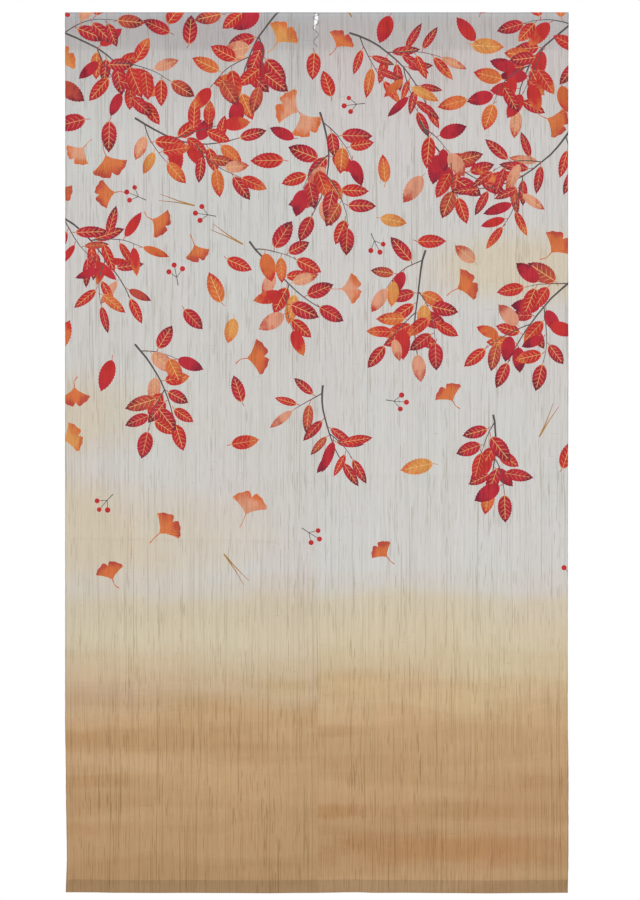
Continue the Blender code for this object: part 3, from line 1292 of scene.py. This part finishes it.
def shaded_down(tree, side, length, wide, fine):
    """The tones of a width, from its head to its hem, with painted shade near the top fold."""
    wobble = added(tree, centred(tree, wide, LEVEL_WIDE), fine, LEVEL_FINE)
    level = count(tree, "DIVIDE", count(tree, "ADD", length, wobble), DROP)
    ramp = new_node(tree, "ShaderNodeValToRGB")
    ramp.color_ramp.interpolation = "EASE"
    stops = ramp.color_ramp.elements
    while len(stops) < len(DYE_AND_SHADE_STOPS):
        stops.new(1.0)
    for stop, (drop, left, right) in zip(stops, DYE_AND_SHADE_STOPS):
        stop.position = drop / DROP
        stop.color = (*dye(*(left if side < 0 else right)), 1.0)
    feed(tree, ramp.inputs["Fac"], level)
    return ramp.outputs["Color"]


# %% Brush the dye on
# Patterns of noise
# changes to the metre across, down, detail, shift
WIDE_DRIFT = (2.6, 6.0, 3.0, 4.0)
FINE_DRIFT = (16.0, 30.0, 3.0, 9.0)
LAP_DRIFT = (2.3, 13.0, 2.0, 17.0)
SOFT_DRIFT = (3.0, 30.0, 2.0, 31.0)
HAZE_RAGGED = 0.9
STROKE_RAGGED = 0.5
STROKE_COMBED = 0.8
STROKE_YARNS = 0.20
STROKE_WAVE = 0.020
STROKES_FROM = 1.07
STROKES_FULL = 1.17
# The faint laps of the brush over the whole tan, as narrow steps of one noise
LAP_EDGES = ((0.425, 0.434), (0.545, 0.557), (0.485, 0.494))
LAP_SHARE = 0.22
SOFT_SHARE = 0.22
SOFT_RANGE = (0.30, 0.70)
THIN_LAP = (1.035, 1.045, 1.06)
DEEP_LAP = (0.925, 0.895, 0.855)


def brushed_dye(tree, side, place, across, length, yarn):
    """The ground colour of a width, from undyed to tan, with hazes and brush strokes."""
    wide = uneven(tree, place, WIDE_DRIFT, side)
    fine = uneven(tree, place, FINE_DRIFT, side)
    colour = shaded_down(tree, side, length, wide, fine)
    ragged = centred(tree, wide, HAZE_RAGGED)
    colour = patched(tree, side, HAZES, colour, across, length, HAZE_CORNERS, HAZE_RIM, ragged)
    combed = count(tree, "ADD", centred(tree, fine, STROKE_COMBED), centred(tree, yarn, STROKE_YARNS))
    combed = added(tree, combed, ragged, STROKE_RAGGED)
    wavy = added(tree, count(tree, "SUBTRACT", length, STROKE_WAVE / 2), wide, STROKE_WAVE)
    colour = patched(tree, side, STROKES, colour, across, wavy, STROKE_CORNERS, STROKE_RIM, combed)
    strokes = uneven(tree, place, LAP_DRIFT, side)
    laps = 0.0
    for low, high in LAP_EDGES:
        laps = count(tree, "ADD", laps, between(tree, strokes, low, high))
    soft = between(tree, uneven(tree, place, SOFT_DRIFT, side), *SOFT_RANGE)
    share = added(tree, count(tree, "MULTIPLY", soft, SOFT_SHARE), laps, LAP_SHARE)
    lapped = blended(tree, 1.0, colour, blended(tree, share, THIN_LAP, DEEP_LAP), "MULTIPLY")
    return blended(tree, between(tree, length, STROKES_FROM, STROKES_FULL), colour, lapped)


# %% [markdown]
# ## The doubled cloth and the selvedge
# At the head and at the hem the cloth lies double. Less light comes through two layers, so they look
# darker and greyer, and most of all where the cloth turns over the top. A translucent shader would
# need light from behind to show this, so the colour is shaded there. The woven edge, the
# selvedge, is firmer and a little darker too: each point knows how far it is from that edge.

# %% The doubled cloth and the selvedge
HEM_START = STRAIGHT_END - HEM_DROP
HEM_EASE = 0.0006
HEADING_SHADE = (0.935, 0.930, 0.930)
HEADING_EASE = 0.004
FOLD_SHADE = (0.80, 0.81, 0.82)
FOLD_REACH = 0.0095
HEM_SHADE = (0.800, 0.815, 0.850)
SELVEDGE = 0.0016
SELVEDGE_SHADE = (0.80, 0.79, 0.77)


def doubled(tree, length, colour):
    """Two layers of thin cloth let less light through, so they look darker and greyer."""
    fold = between(tree, count(tree, "ABSOLUTE", length), FOLD_REACH / 2, FOLD_REACH, 1.0, 0.0)
    colour = blended(tree, fold, colour, FOLD_SHADE, "MULTIPLY")
    head = between(tree, length, HEADING_LENGTH - HEADING_EASE, HEADING_LENGTH + HEADING_EASE, 1.0, 0.0)
    hem = between(tree, length, HEM_START - HEM_EASE, HEM_START + HEM_EASE)
    colour = blended(tree, head, colour, HEADING_SHADE, "MULTIPLY")
    return blended(tree, hem, colour, HEM_SHADE, "MULTIPLY")


def selvedge(tree, colour):
    """The firm woven edge is a little darker."""
    edge = new_node(tree, "ShaderNodeAttribute", attribute_name="from_edge")
    share = between(tree, edge.outputs["Fac"], SELVEDGE * 0.5, SELVEDGE * 1.5, 1.0, 0.0)
    return blended(tree, share, colour, SELVEDGE_SHADE, "MULTIPLY")


# %% [markdown]
# ## The painted leaves
# Each leaf is dyed by hand. Its colour runs unevenly from base to tip, the dye gathers in
# pools, and its veins are thin gold lines. Images of leaves could be laid on the cloth, but they
# blur when seen close. The cut has left every triangle with its place in its motif's own frame and with
# two colours, so the material can run from one to the other and count off the veins along the leaf.

# %% Veins
VEIN_HALF = 0.0085
VEINS_END = (0.82, 0.95)
SIDE_VEINS = 6.0
SIDE_VEIN_SLANT = 5.2
SIDE_VEIN_HALF = 0.045
SIDE_VEINS_END = (0.12, 0.20)
SIDE_VEIN_SHARE = 0.8
FAN_VEINS = 13.0
FAN_VEIN_HALF = 0.07
FAN_VEINS_END = (0.25, 0.85)
FAN_VEIN_SHARE = 0.75


def near_line(tree, phase, half):
    """1 where a phase is within half of a whole number."""
    fraction = count(tree, "PINGPONG", phase, 0.5)
    return between(tree, fraction, half * 0.6, half * 1.4, 1.0, 0.0)


def oval_veins(tree, along, side_way):
    """The midrib and the slanting side veins of an oval leaf."""
    midrib = between(tree, side_way, VEIN_HALF * 0.7, VEIN_HALF * 1.4, 1.0, 0.0)
    phase = count(tree, "SUBTRACT", count(tree, "MULTIPLY", along, SIDE_VEINS),
                  count(tree, "MULTIPLY", side_way, SIDE_VEIN_SLANT))
    side_lines = count(tree, "MULTIPLY", near_line(tree, phase, SIDE_VEIN_HALF),
                       between(tree, side_way, *SIDE_VEINS_END, SIDE_VEIN_SHARE, 0.0))
    return count(tree, "MULTIPLY", count(tree, "MAXIMUM", midrib, side_lines),
                 between(tree, along, *VEINS_END, 1.0, 0.0))


def fan_veins(tree, along, aside):
    """The rays of a ginkgo fan."""
    ray_turn = count(tree, "ARCTAN2", aside, along)
    rays = near_line(tree, count(tree, "MULTIPLY", ray_turn, FAN_VEINS / 2), FAN_VEIN_HALF)
    return count(tree, "MULTIPLY", rays, between(tree, along, *FAN_VEINS_END, FAN_VEIN_SHARE, 0.0))


# %% Paint the leaves
MOTTLE = (90.0, 55.0, 3.0, 5.0)
POOLS = (45.0, 32.0, 2.0, 21.0)
TIP_MOTTLE = 0.9
TIP_AT_RIM = 0.6
TIP_RANGE = (0.55, 1.05)
POOL_RANGE = (0.35, 0.7)
POOL_SHARE = 0.6
POOL_SHADE = (0.80, 0.74, 0.74)


def painted(tree, place, ground_colour):
    """The motifs over the ground, each shaded from its base to its tip, with thin gold veins."""
    own = new_node(tree, "ShaderNodeAttribute", attribute_name="motif_place")
    parts = new_node(tree, "ShaderNodeSeparateXYZ")
    feed(tree, parts.inputs["Vector"], own.outputs["Vector"])
    along, aside, veins = parts.outputs
    body = new_node(tree, "ShaderNodeAttribute", attribute_name="motif_body")
    tip = new_node(tree, "ShaderNodeAttribute", attribute_name="motif_tip")
    fan = tip.outputs["Alpha"]
    side_way = count(tree, "ABSOLUTE", aside)
    mottle = uneven(tree, place, MOTTLE)
    toward_tip = added(tree, count(tree, "SUBTRACT", along, TIP_MOTTLE / 2), mottle, TIP_MOTTLE)
    toward_tip = count(tree, "ADD", toward_tip, count(tree, "MULTIPLY", side_way, TIP_AT_RIM))
    tip_share = between(tree, toward_tip, *TIP_RANGE)
    paint = blended(tree, tip_share, body.outputs["Color"], tip.outputs["Color"])
    pools = between(tree, uneven(tree, place, POOLS), *POOL_RANGE)
    pools = count(tree, "MULTIPLY", pools, POOL_SHARE)
    paint = blended(tree, pools, paint, POOL_SHADE, "MULTIPLY")
    rays = count(tree, "MULTIPLY", fan_veins(tree, along, aside), fan)
    ribs = count(tree, "MULTIPLY", oval_veins(tree, along, side_way), count(tree, "SUBTRACT", 1.0, fan))
    lines = count(tree, "MULTIPLY", count(tree, "ADD", rays, ribs), veins)
    paint = blended(tree, lines, paint, GOLD)
    return blended(tree, body.outputs["Alpha"], ground_colour, paint)


# %% [markdown]
# ## Yarns, slubs and streaks
# Hemp yarn is spun by hand and is never even, so the cloth is full of fine upright streaks, with a
# few dark slubs and knots. Noise stretched down the cloth would look like brushed metal, because its
# streaks taper and run into each other. So the yarns are counted instead: a whole number across the
# cloth names each pair of neighbours, and gives it a shade and noises of its own.

# %% Count the yarns
YARN_PAIRS = 720.0
YARN_WANDER = 0.004
YARN_APART = 7.31
WANDER = (5.0, 6.0, 1.0, 33.0)


def yarn_at(tree, place, across):
    """The number of the pair of warp yarns at a place, how far across its yarn it is, and a shade."""
    wander = uneven(tree, place, WANDER)
    counted = count(tree, "MULTIPLY", added(tree, across, wander, YARN_WANDER), YARN_PAIRS)
    number = count(tree, "FLOOR", counted)
    chance = new_node(tree, "ShaderNodeTexWhiteNoise", noise_dimensions="1D")
    feed(tree, chance.inputs["W"], number)
    within = count(tree, "FRACT", count(tree, "MULTIPLY", counted, 2.0))
    return number, within, chance.outputs["Value"]


def along_yarn(tree, number, length, changes, shift, detail=1.0):
    """Noise along each pair of yarns, with this many changes to the metre, and nothing in common."""
    place = new_node(tree, "ShaderNodeCombineXYZ")
    feed(tree, place.inputs["X"], added(tree, shift, number, YARN_APART))
    feed(tree, place.inputs["Y"], count(tree, "MULTIPLY", length, changes))
    node = new_node(tree, "ShaderNodeTexNoise", noise_dimensions="2D")
    feed(tree, node.inputs["Vector"], place.outputs["Vector"])
    node.inputs["Scale"].default_value = 1.0
    node.inputs["Detail"].default_value = detail
    return node.outputs["Fac"]


# %% Light and dark along a yarn
YARN_DEPTH = 0.054
# The gap between neighbouring yarns is painted darker, as shade in the groove between them
GAP_SHADE_DEPTH = 0.07
GAP_POWER = 4.0
# How a yarn's shade changes along it
# changes to the metre, shift, detail, depth
SLOW_CHANGE = (5.0, 0.0, 2.0, 0.18)
QUICK_CHANGE = (40.0, 40.0, 2.0, 0.12)


def yarn_light(tree, length, yarn, strength):
    """How light a yarn is from place to place, with painted shade in the gap to the next one."""
    number, within, own_shade = yarn
    light = centred(tree, own_shade, YARN_DEPTH)
    for *change, depth in (SLOW_CHANGE, QUICK_CHANGE):
        shade = along_yarn(tree, number, length, *change)
        light = count(tree, "ADD", light, centred(tree, shade, depth))
    light = added(tree, 1.0, light, strength)
    rim = count(tree, "ABSOLUTE", centred(tree, within, 2.0))
    gap = count(tree, "MULTIPLY", count(tree, "POWER", rim, GAP_POWER), GAP_SHADE_DEPTH)
    return count(tree, "SUBTRACT", light, gap)


# %% Slubs, knots and weft marks
# Dark stretches of a yarn
# changes to the metre, shift, where they start and are full in the noise, strength
DARK_LINES = (4.5, 84.0, 0.58, 0.74, 0.8)
DARK_SLUBS = (18.0, 120.0, 0.61, 0.75, 0.9)
# Patterns of noise
# changes to the metre across, down, detail, shift
GROUPS = (38.0, 1.7, 2.0, 50.0)
KNOTS = (260.0, 200.0, 1.0, 60.0)
WEFTS = (36.0, 420.0, 1.0, 20.0)
GROUP_RANGE = (0.36, 0.66, 0.45, 1.0)
KNOT_RANGE = (0.77, 0.84)
WEFT_RANGE = (0.74, 0.86)
KNOT_SHARE = 0.5


def dark_marks(tree, place, length, number, strength):
    """The dark stretches of the yarns, which come in groups, and the knots and weft marks."""
    stretches = [
        between(tree, along_yarn(tree, number, length, changes, shift), low, high, 0.0, share)
        for changes, shift, low, high, share in (DARK_LINES, DARK_SLUBS)
    ]
    groups = between(tree, uneven(tree, place, GROUPS), *GROUP_RANGE)
    dark = count(tree, "MULTIPLY", count(tree, "MAXIMUM", *stretches), groups)
    dark = count(tree, "MULTIPLY", dark, strength)
    knots = between(tree, uneven(tree, place, KNOTS), *KNOT_RANGE)
    wefts = between(tree, uneven(tree, place, WEFTS), *WEFT_RANGE)
    small = count(tree, "MULTIPLY", count(tree, "MAXIMUM", knots, wefts), KNOT_SHARE)
    return count(tree, "MAXIMUM", dark, small)


# %% Show the yarns in a colour
TAN_YARN = 1.2
DARK_YARN = (0.74, 0.70, 0.65)
TINTS = (9.0, 4.0, 3.0, 70.0)
TINT_RANGE = (0.3, 0.7)
WARM_TINT = (1.0, 0.985, 0.985)
COOL_TINT = (0.985, 1.0, 0.992)


def spun(tree, place, length, colour, yarn):
    """The unevenness of the yarns over a colour, and how light they are, with painted shade in the gaps
    between them, which also raises them.
    """
    strength = between(tree, length, STROKES_FROM, STROKES_FULL, 1.0, TAN_YARN)
    light = yarn_light(tree, length, yarn, strength)
    marks = dark_marks(tree, place, length, yarn[0], strength)
    colour = blended(tree, marks, colour, DARK_YARN, "MULTIPLY")
    shade = new_node(tree, "ShaderNodeCombineColor")
    for socket in shade.inputs:
        feed(tree, socket, light)
    colour = blended(tree, 1.0, colour, shade.outputs["Color"], "MULTIPLY")
    tint = between(tree, uneven(tree, place, TINTS), *TINT_RANGE)
    tints = blended(tree, tint, WARM_TINT, COOL_TINT)
    return blended(tree, 1.0, colour, tints, "MULTIPLY"), light


# %% [markdown]
# ## The cloth's material
# The steps come together in the order in which the cloth was made: the ground is dyed, the doubled
# parts are shaded, the leaves are painted, and the yarns show through it all. One material could serve
# both sides, but the print looks paler on the reverse, so each side of each width has its own. A fine
# bump of warp and weft gives the weave, which is far too small to be modelled.

# %% Matt surfaces
SPECULAR = 0.18


def matt_material(name, roughness):
    """A new matt material, and its shader."""
    material = bpy.data.materials.new(name)
    material.use_nodes = True
    shader = material.node_tree.nodes["Principled BSDF"]
    shader.inputs["Roughness"].default_value = roughness
    shader.inputs["Specular IOR Level"].default_value = SPECULAR
    return material, shader


def roughen(tree, shader, height, strength, distance):
    """Gives a surface a fine relief."""
    bump = new_node(tree, "ShaderNodeBump")
    bump.inputs["Strength"].default_value = strength
    bump.inputs["Distance"].default_value = distance
    feed(tree, bump.inputs["Height"], height)
    feed(tree, shader.inputs["Normal"], bump.outputs["Normal"])


# %% Put the cloth's material together
ROUGHNESS = 0.92
REVERSE_PALENESS = 0.30
WARP_RELIEF = (1150.0, 70.0, 1.0, 3.0)
WEFT_RELIEF = (80.0, 1050.0, 1.0, 6.0)
WEAVE_STRENGTH = 0.5
WEAVE_HEIGHT = 0.00025


def hemp(name, side, reverse):
    """Painted hemp, for the right side of a width or for its reverse."""
    material, shader = matt_material(name, ROUGHNESS)
    tree = material.node_tree
    place = new_node(tree, "ShaderNodeUVMap", uv_map="cloth_metres").outputs["UV"]
    parts = new_node(tree, "ShaderNodeSeparateXYZ")
    feed(tree, parts.inputs["Vector"], place)
    across, length = parts.outputs[0], parts.outputs[1]
    yarn = yarn_at(tree, place, across)
    bare = doubled(tree, length, brushed_dye(tree, side, place, across, length, yarn[2]))
    colour = painted(tree, place, bare)
    if reverse:
        colour = blended(tree, REVERSE_PALENESS, colour, bare)
    colour, light = spun(tree, place, length, selvedge(tree, colour), yarn)
    feed(tree, shader.inputs["Base Color"], colour)
    weave = count(tree, "ADD", uneven(tree, place, WARP_RELIEF), uneven(tree, place, WEFT_RELIEF))
    roughen(tree, shader, count(tree, "ADD", weave, light), WEAVE_STRENGTH, WEAVE_HEIGHT)
    print(name, "takes", len(tree.nodes), "nodes")
    return material


# %% [markdown]
# ## Thickness
# So far each width is a bare surface, painted on the side that faces the room. Solidify gives it
# half a millimetre, shared between its two sides, and the second material on its back. The modifier
# is applied, so that the cloth is a closed solid when it is measured and exported.

# %% Give the widths thickness and finish
SHARP_FROM = math.radians(50)

for width, side, word in ((left_width, -1, "left"), (right_width, 1, "right")):
    width.data.materials.append(hemp(f"painted_hemp_{word}", side, False))
    width.data.materials.append(hemp(f"painted_hemp_{word}_reverse", side, True))
    bpy.ops.object.select_all(action="DESELECT")
    width.select_set(True)
    bpy.context.view_layer.objects.active = width
    thickness = width.modifiers.new("thickness", "SOLIDIFY")
    thickness.thickness = THIN
    thickness.offset = 0.0
    thickness.material_offset = 1
    bpy.ops.object.modifier_apply(modifier=thickness.name)
    width.data.shade_smooth()
    width.data.set_sharp_from_angle(angle=SHARP_FROM)
    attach(width, "root")
    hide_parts(f"panel_{word}", f"heading_{word}")
    print(word, "width:", len(width.data.polygons), "faces")

# %% [markdown]
# ## Thread
# The flap and the hem are sewn blind, by hand: a whole stitch shows on the back, but only a prick of
# thread on the front. The sewing thread is undyed at the head and tan at the hem, and the thread that
# laces the two widths together is grey. Noise on the object's own coordinates gives all of them the
# look of a fine twist, which is too small to be modelled.

# %% The thread's finish
THREAD_ROUGHNESS = 0.85
FUZZ = 900.0
FUZZ_RANGE = (0.3, 0.7)
FUZZ_SHADE = 0.72
TWIST_STRENGTH = 0.4
TWIST_HEIGHT = 0.0001


def spun_thread(name, colour):
    """Matt thread with a fine twist."""
    material, shader = matt_material(name, THREAD_ROUGHNESS)
    tree = material.node_tree
    place = new_node(tree, "ShaderNodeTexCoord").outputs["Object"]
    fuzz = new_node(tree, "ShaderNodeTexNoise")
    feed(tree, fuzz.inputs["Vector"], place)
    fuzz.inputs["Scale"].default_value = FUZZ
    shade = between(tree, fuzz.outputs["Fac"], *FUZZ_RANGE)
    darker = tuple(level * FUZZ_SHADE for level in colour)
    feed(tree, shader.inputs["Base Color"], blended(tree, shade, darker, colour))
    roughen(tree, shader, fuzz.outputs["Fac"], TWIST_STRENGTH, TWIST_HEIGHT)
    return material


head_thread = spun_thread("undyed_thread", dye(186, 182, 179))
hem_thread = spun_thread("tan_thread", dye(178, 144, 106))
lacing_thread = spun_thread("grey_thread", dye(148, 143, 140))
print("three threads:", head_thread.name, hem_thread.name, lacing_thread.name)

# %% [markdown]
# ## Stitches
# A seam has dozens of stitches, and a curve for each would be slow. One stitch is made once, as a
# short cylinder with six sides, because no more can be seen of it, and its copies are joined into one
# mesh for each seam. They lie half sunk in the cloth. Some are a little long, some a little askew,
# and in front only a quarter of each shows.

# %% One stitch
STITCH = 0.0042
STITCH_THICK = 0.00045
STITCH_SIDES = 6

bpy.ops.object.select_all(action="DESELECT")
bpy.ops.mesh.primitive_cylinder_add(
    vertices=STITCH_SIDES, radius=STITCH_THICK / 2, depth=STITCH,
    rotation=(0.0, math.radians(90), 0.0), end_fill_type="TRIFAN",
)
one_stitch = bpy.context.object
bpy.ops.object.transform_apply(location=True, rotation=True, scale=True)
stitch_points = [vert.co.copy() for vert in one_stitch.data.vertices]
stitch_faces = [tuple(face.vertices) for face in one_stitch.data.polygons]
bpy.data.objects.remove(one_stitch, do_unlink=True)
print("a stitch has", len(stitch_points), "points")

# %% Sew the seams
SEWN_SEED = 7
STITCH_PITCH = 0.0075
PITCH_SPREAD = (0.92, 1.1)
STITCH_SPREAD = (0.85, 1.12)
STITCH_LEAN = 0.08
STITCH_PROUD = 0.00004
PRICK_SHARE = 0.24
SEAM_INSET = 0.004
# The seams of each width
# end of the piece's name, place on the flat cloth, whether it is on the back, thread
SEAMS = (
    ("heading_seam_front", HEADING_LENGTH - 0.0028, False, head_thread),
    ("heading_seam_back", 0.0023 - FLAP_LENGTH, True, head_thread),
    ("hem_seam_front", HEM_START + 0.0022, False, hem_thread),
    ("hem_seam_back", CLOTH_END - 0.0022, True, hem_thread),
)

sewn = random.Random(SEWN_SEED)


def seam(name, side, length, behind, material):
    """A row of stitches along one width at a length of the flat cloth."""
    low, high = sorted(edges_at(side, length))
    points, faces = [], []
    across = low + SEAM_INSET
    while across < high - SEAM_INSET - STITCH:
        x, y, z = hung(side, across + STITCH / 2, length)
        y += (THIN / 2 + STITCH_PROUD) * (1 if behind else -1)
        lean = sewn.uniform(-STITCH_LEAN, STITCH_LEAN)
        long = sewn.uniform(*STITCH_SPREAD) * (1 if behind else PRICK_SHARE)
        start = len(points)
        points += [
            (x + point.x * long, y + point.y, z + point.z + point.x * lean) for point in stitch_points
        ]
        faces += [tuple(start + corner for corner in face) for face in stitch_faces]
        across += STITCH_PITCH * sewn.uniform(*PITCH_SPREAD)
    mesh = bpy.data.meshes.new(name)
    mesh.from_pydata(points, [], faces)
    mesh.shade_smooth()
    mesh.materials.append(material)
    row = bpy.data.objects.new(name, mesh)
    bpy.context.scene.collection.objects.link(row)
    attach(row, "root")
    return row


seams = {
    word: [seam(f"{word}_{end}", side, length, behind, thread) for end, length, behind, thread in SEAMS]
    for word, side in (("left", -1), ("right", 1))
}
print("stitches:", sum(len(row.data.vertices) for rows in seams.values() for row in rows)
      // len(stitch_points))

# %% [markdown]
# ## The lacing
# One grey thread crosses over the gap between the two pockets and holds the widths side by side. It
# is sewn into both, so it isn't a free cord. It is a curve with a round section that dips into the
# cloth at each turn, turned into a mesh at the end so that the export can read it.

# %% The thread's route
LACING_THICK = 0.0009
LACING_DIP = 0.0006
LACING_DIP_POWER = 6
LACING_STEPS = 7
HALVINGS = 30
# Where the thread turns
# drop, across
LACING_TURNS = (
    (0.0020, -0.0046),
    (0.0045, 0.0036),
    (0.0100, -0.0064),
    (0.0180, 0.0034),
    (0.0270, -0.0068),
    (0.0385, 0.0024),
    (0.0500, -0.0056),
    (0.0610, 0.0004),
)


def front_of_pocket(across, drop):
    """The depth of the pocket's front surface at a drop."""
    low, high = 0.0, HEADING_LENGTH
    for halving in range(HALVINGS):
        middle = (low + high) / 2
        low, high = (middle, high) if drop_of(middle) < drop else (low, middle)
    return hung(-1 if across < 0 else 1, across, low)[1] - THIN / 2


route = []
for (drop, across), (next_drop, next_across) in zip(LACING_TURNS, LACING_TURNS[1:]):
    for step in range(LACING_STEPS):
        share = step / LACING_STEPS
        swing = (1 - math.cos(math.pi * share)) / 2
        here_across = across + swing * (next_across - across)
        here_drop = drop + share * (next_drop - drop)
        lift = LACING_THICK / 2 - LACING_DIP * math.cos(math.pi * share)**LACING_DIP_POWER
        route.append((here_across, front_of_pocket(here_across, here_drop) - lift, -here_drop))
print("the route has", len(route), "places")

# %% Lace the headings together
LACING_ROUNDNESS = 3

curve = bpy.data.curves.new("lacing_line", "CURVE")
curve.dimensions = "3D"
curve.bevel_depth = LACING_THICK / 2
curve.bevel_resolution = LACING_ROUNDNESS
curve.use_fill_caps = True
line = curve.splines.new("POLY")
line.points.add(len(route) - 1)
for point, place in zip(line.points, route):
    point.co = (*place, 1.0)
lace = bpy.data.objects.new("lacing_thread", curve)
bpy.context.scene.collection.objects.link(lace)
bpy.ops.object.select_all(action="DESELECT")
lace.select_set(True)
bpy.context.view_layer.objects.active = lace
bpy.ops.object.convert(target="MESH")
lace = bpy.context.object
lace.data.materials.clear()
lace.data.materials.append(lacing_thread)
lace.data.shade_smooth()
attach(lace, "root")
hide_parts("lacing")
print("the lacing has", len(lace.data.polygons), "faces")
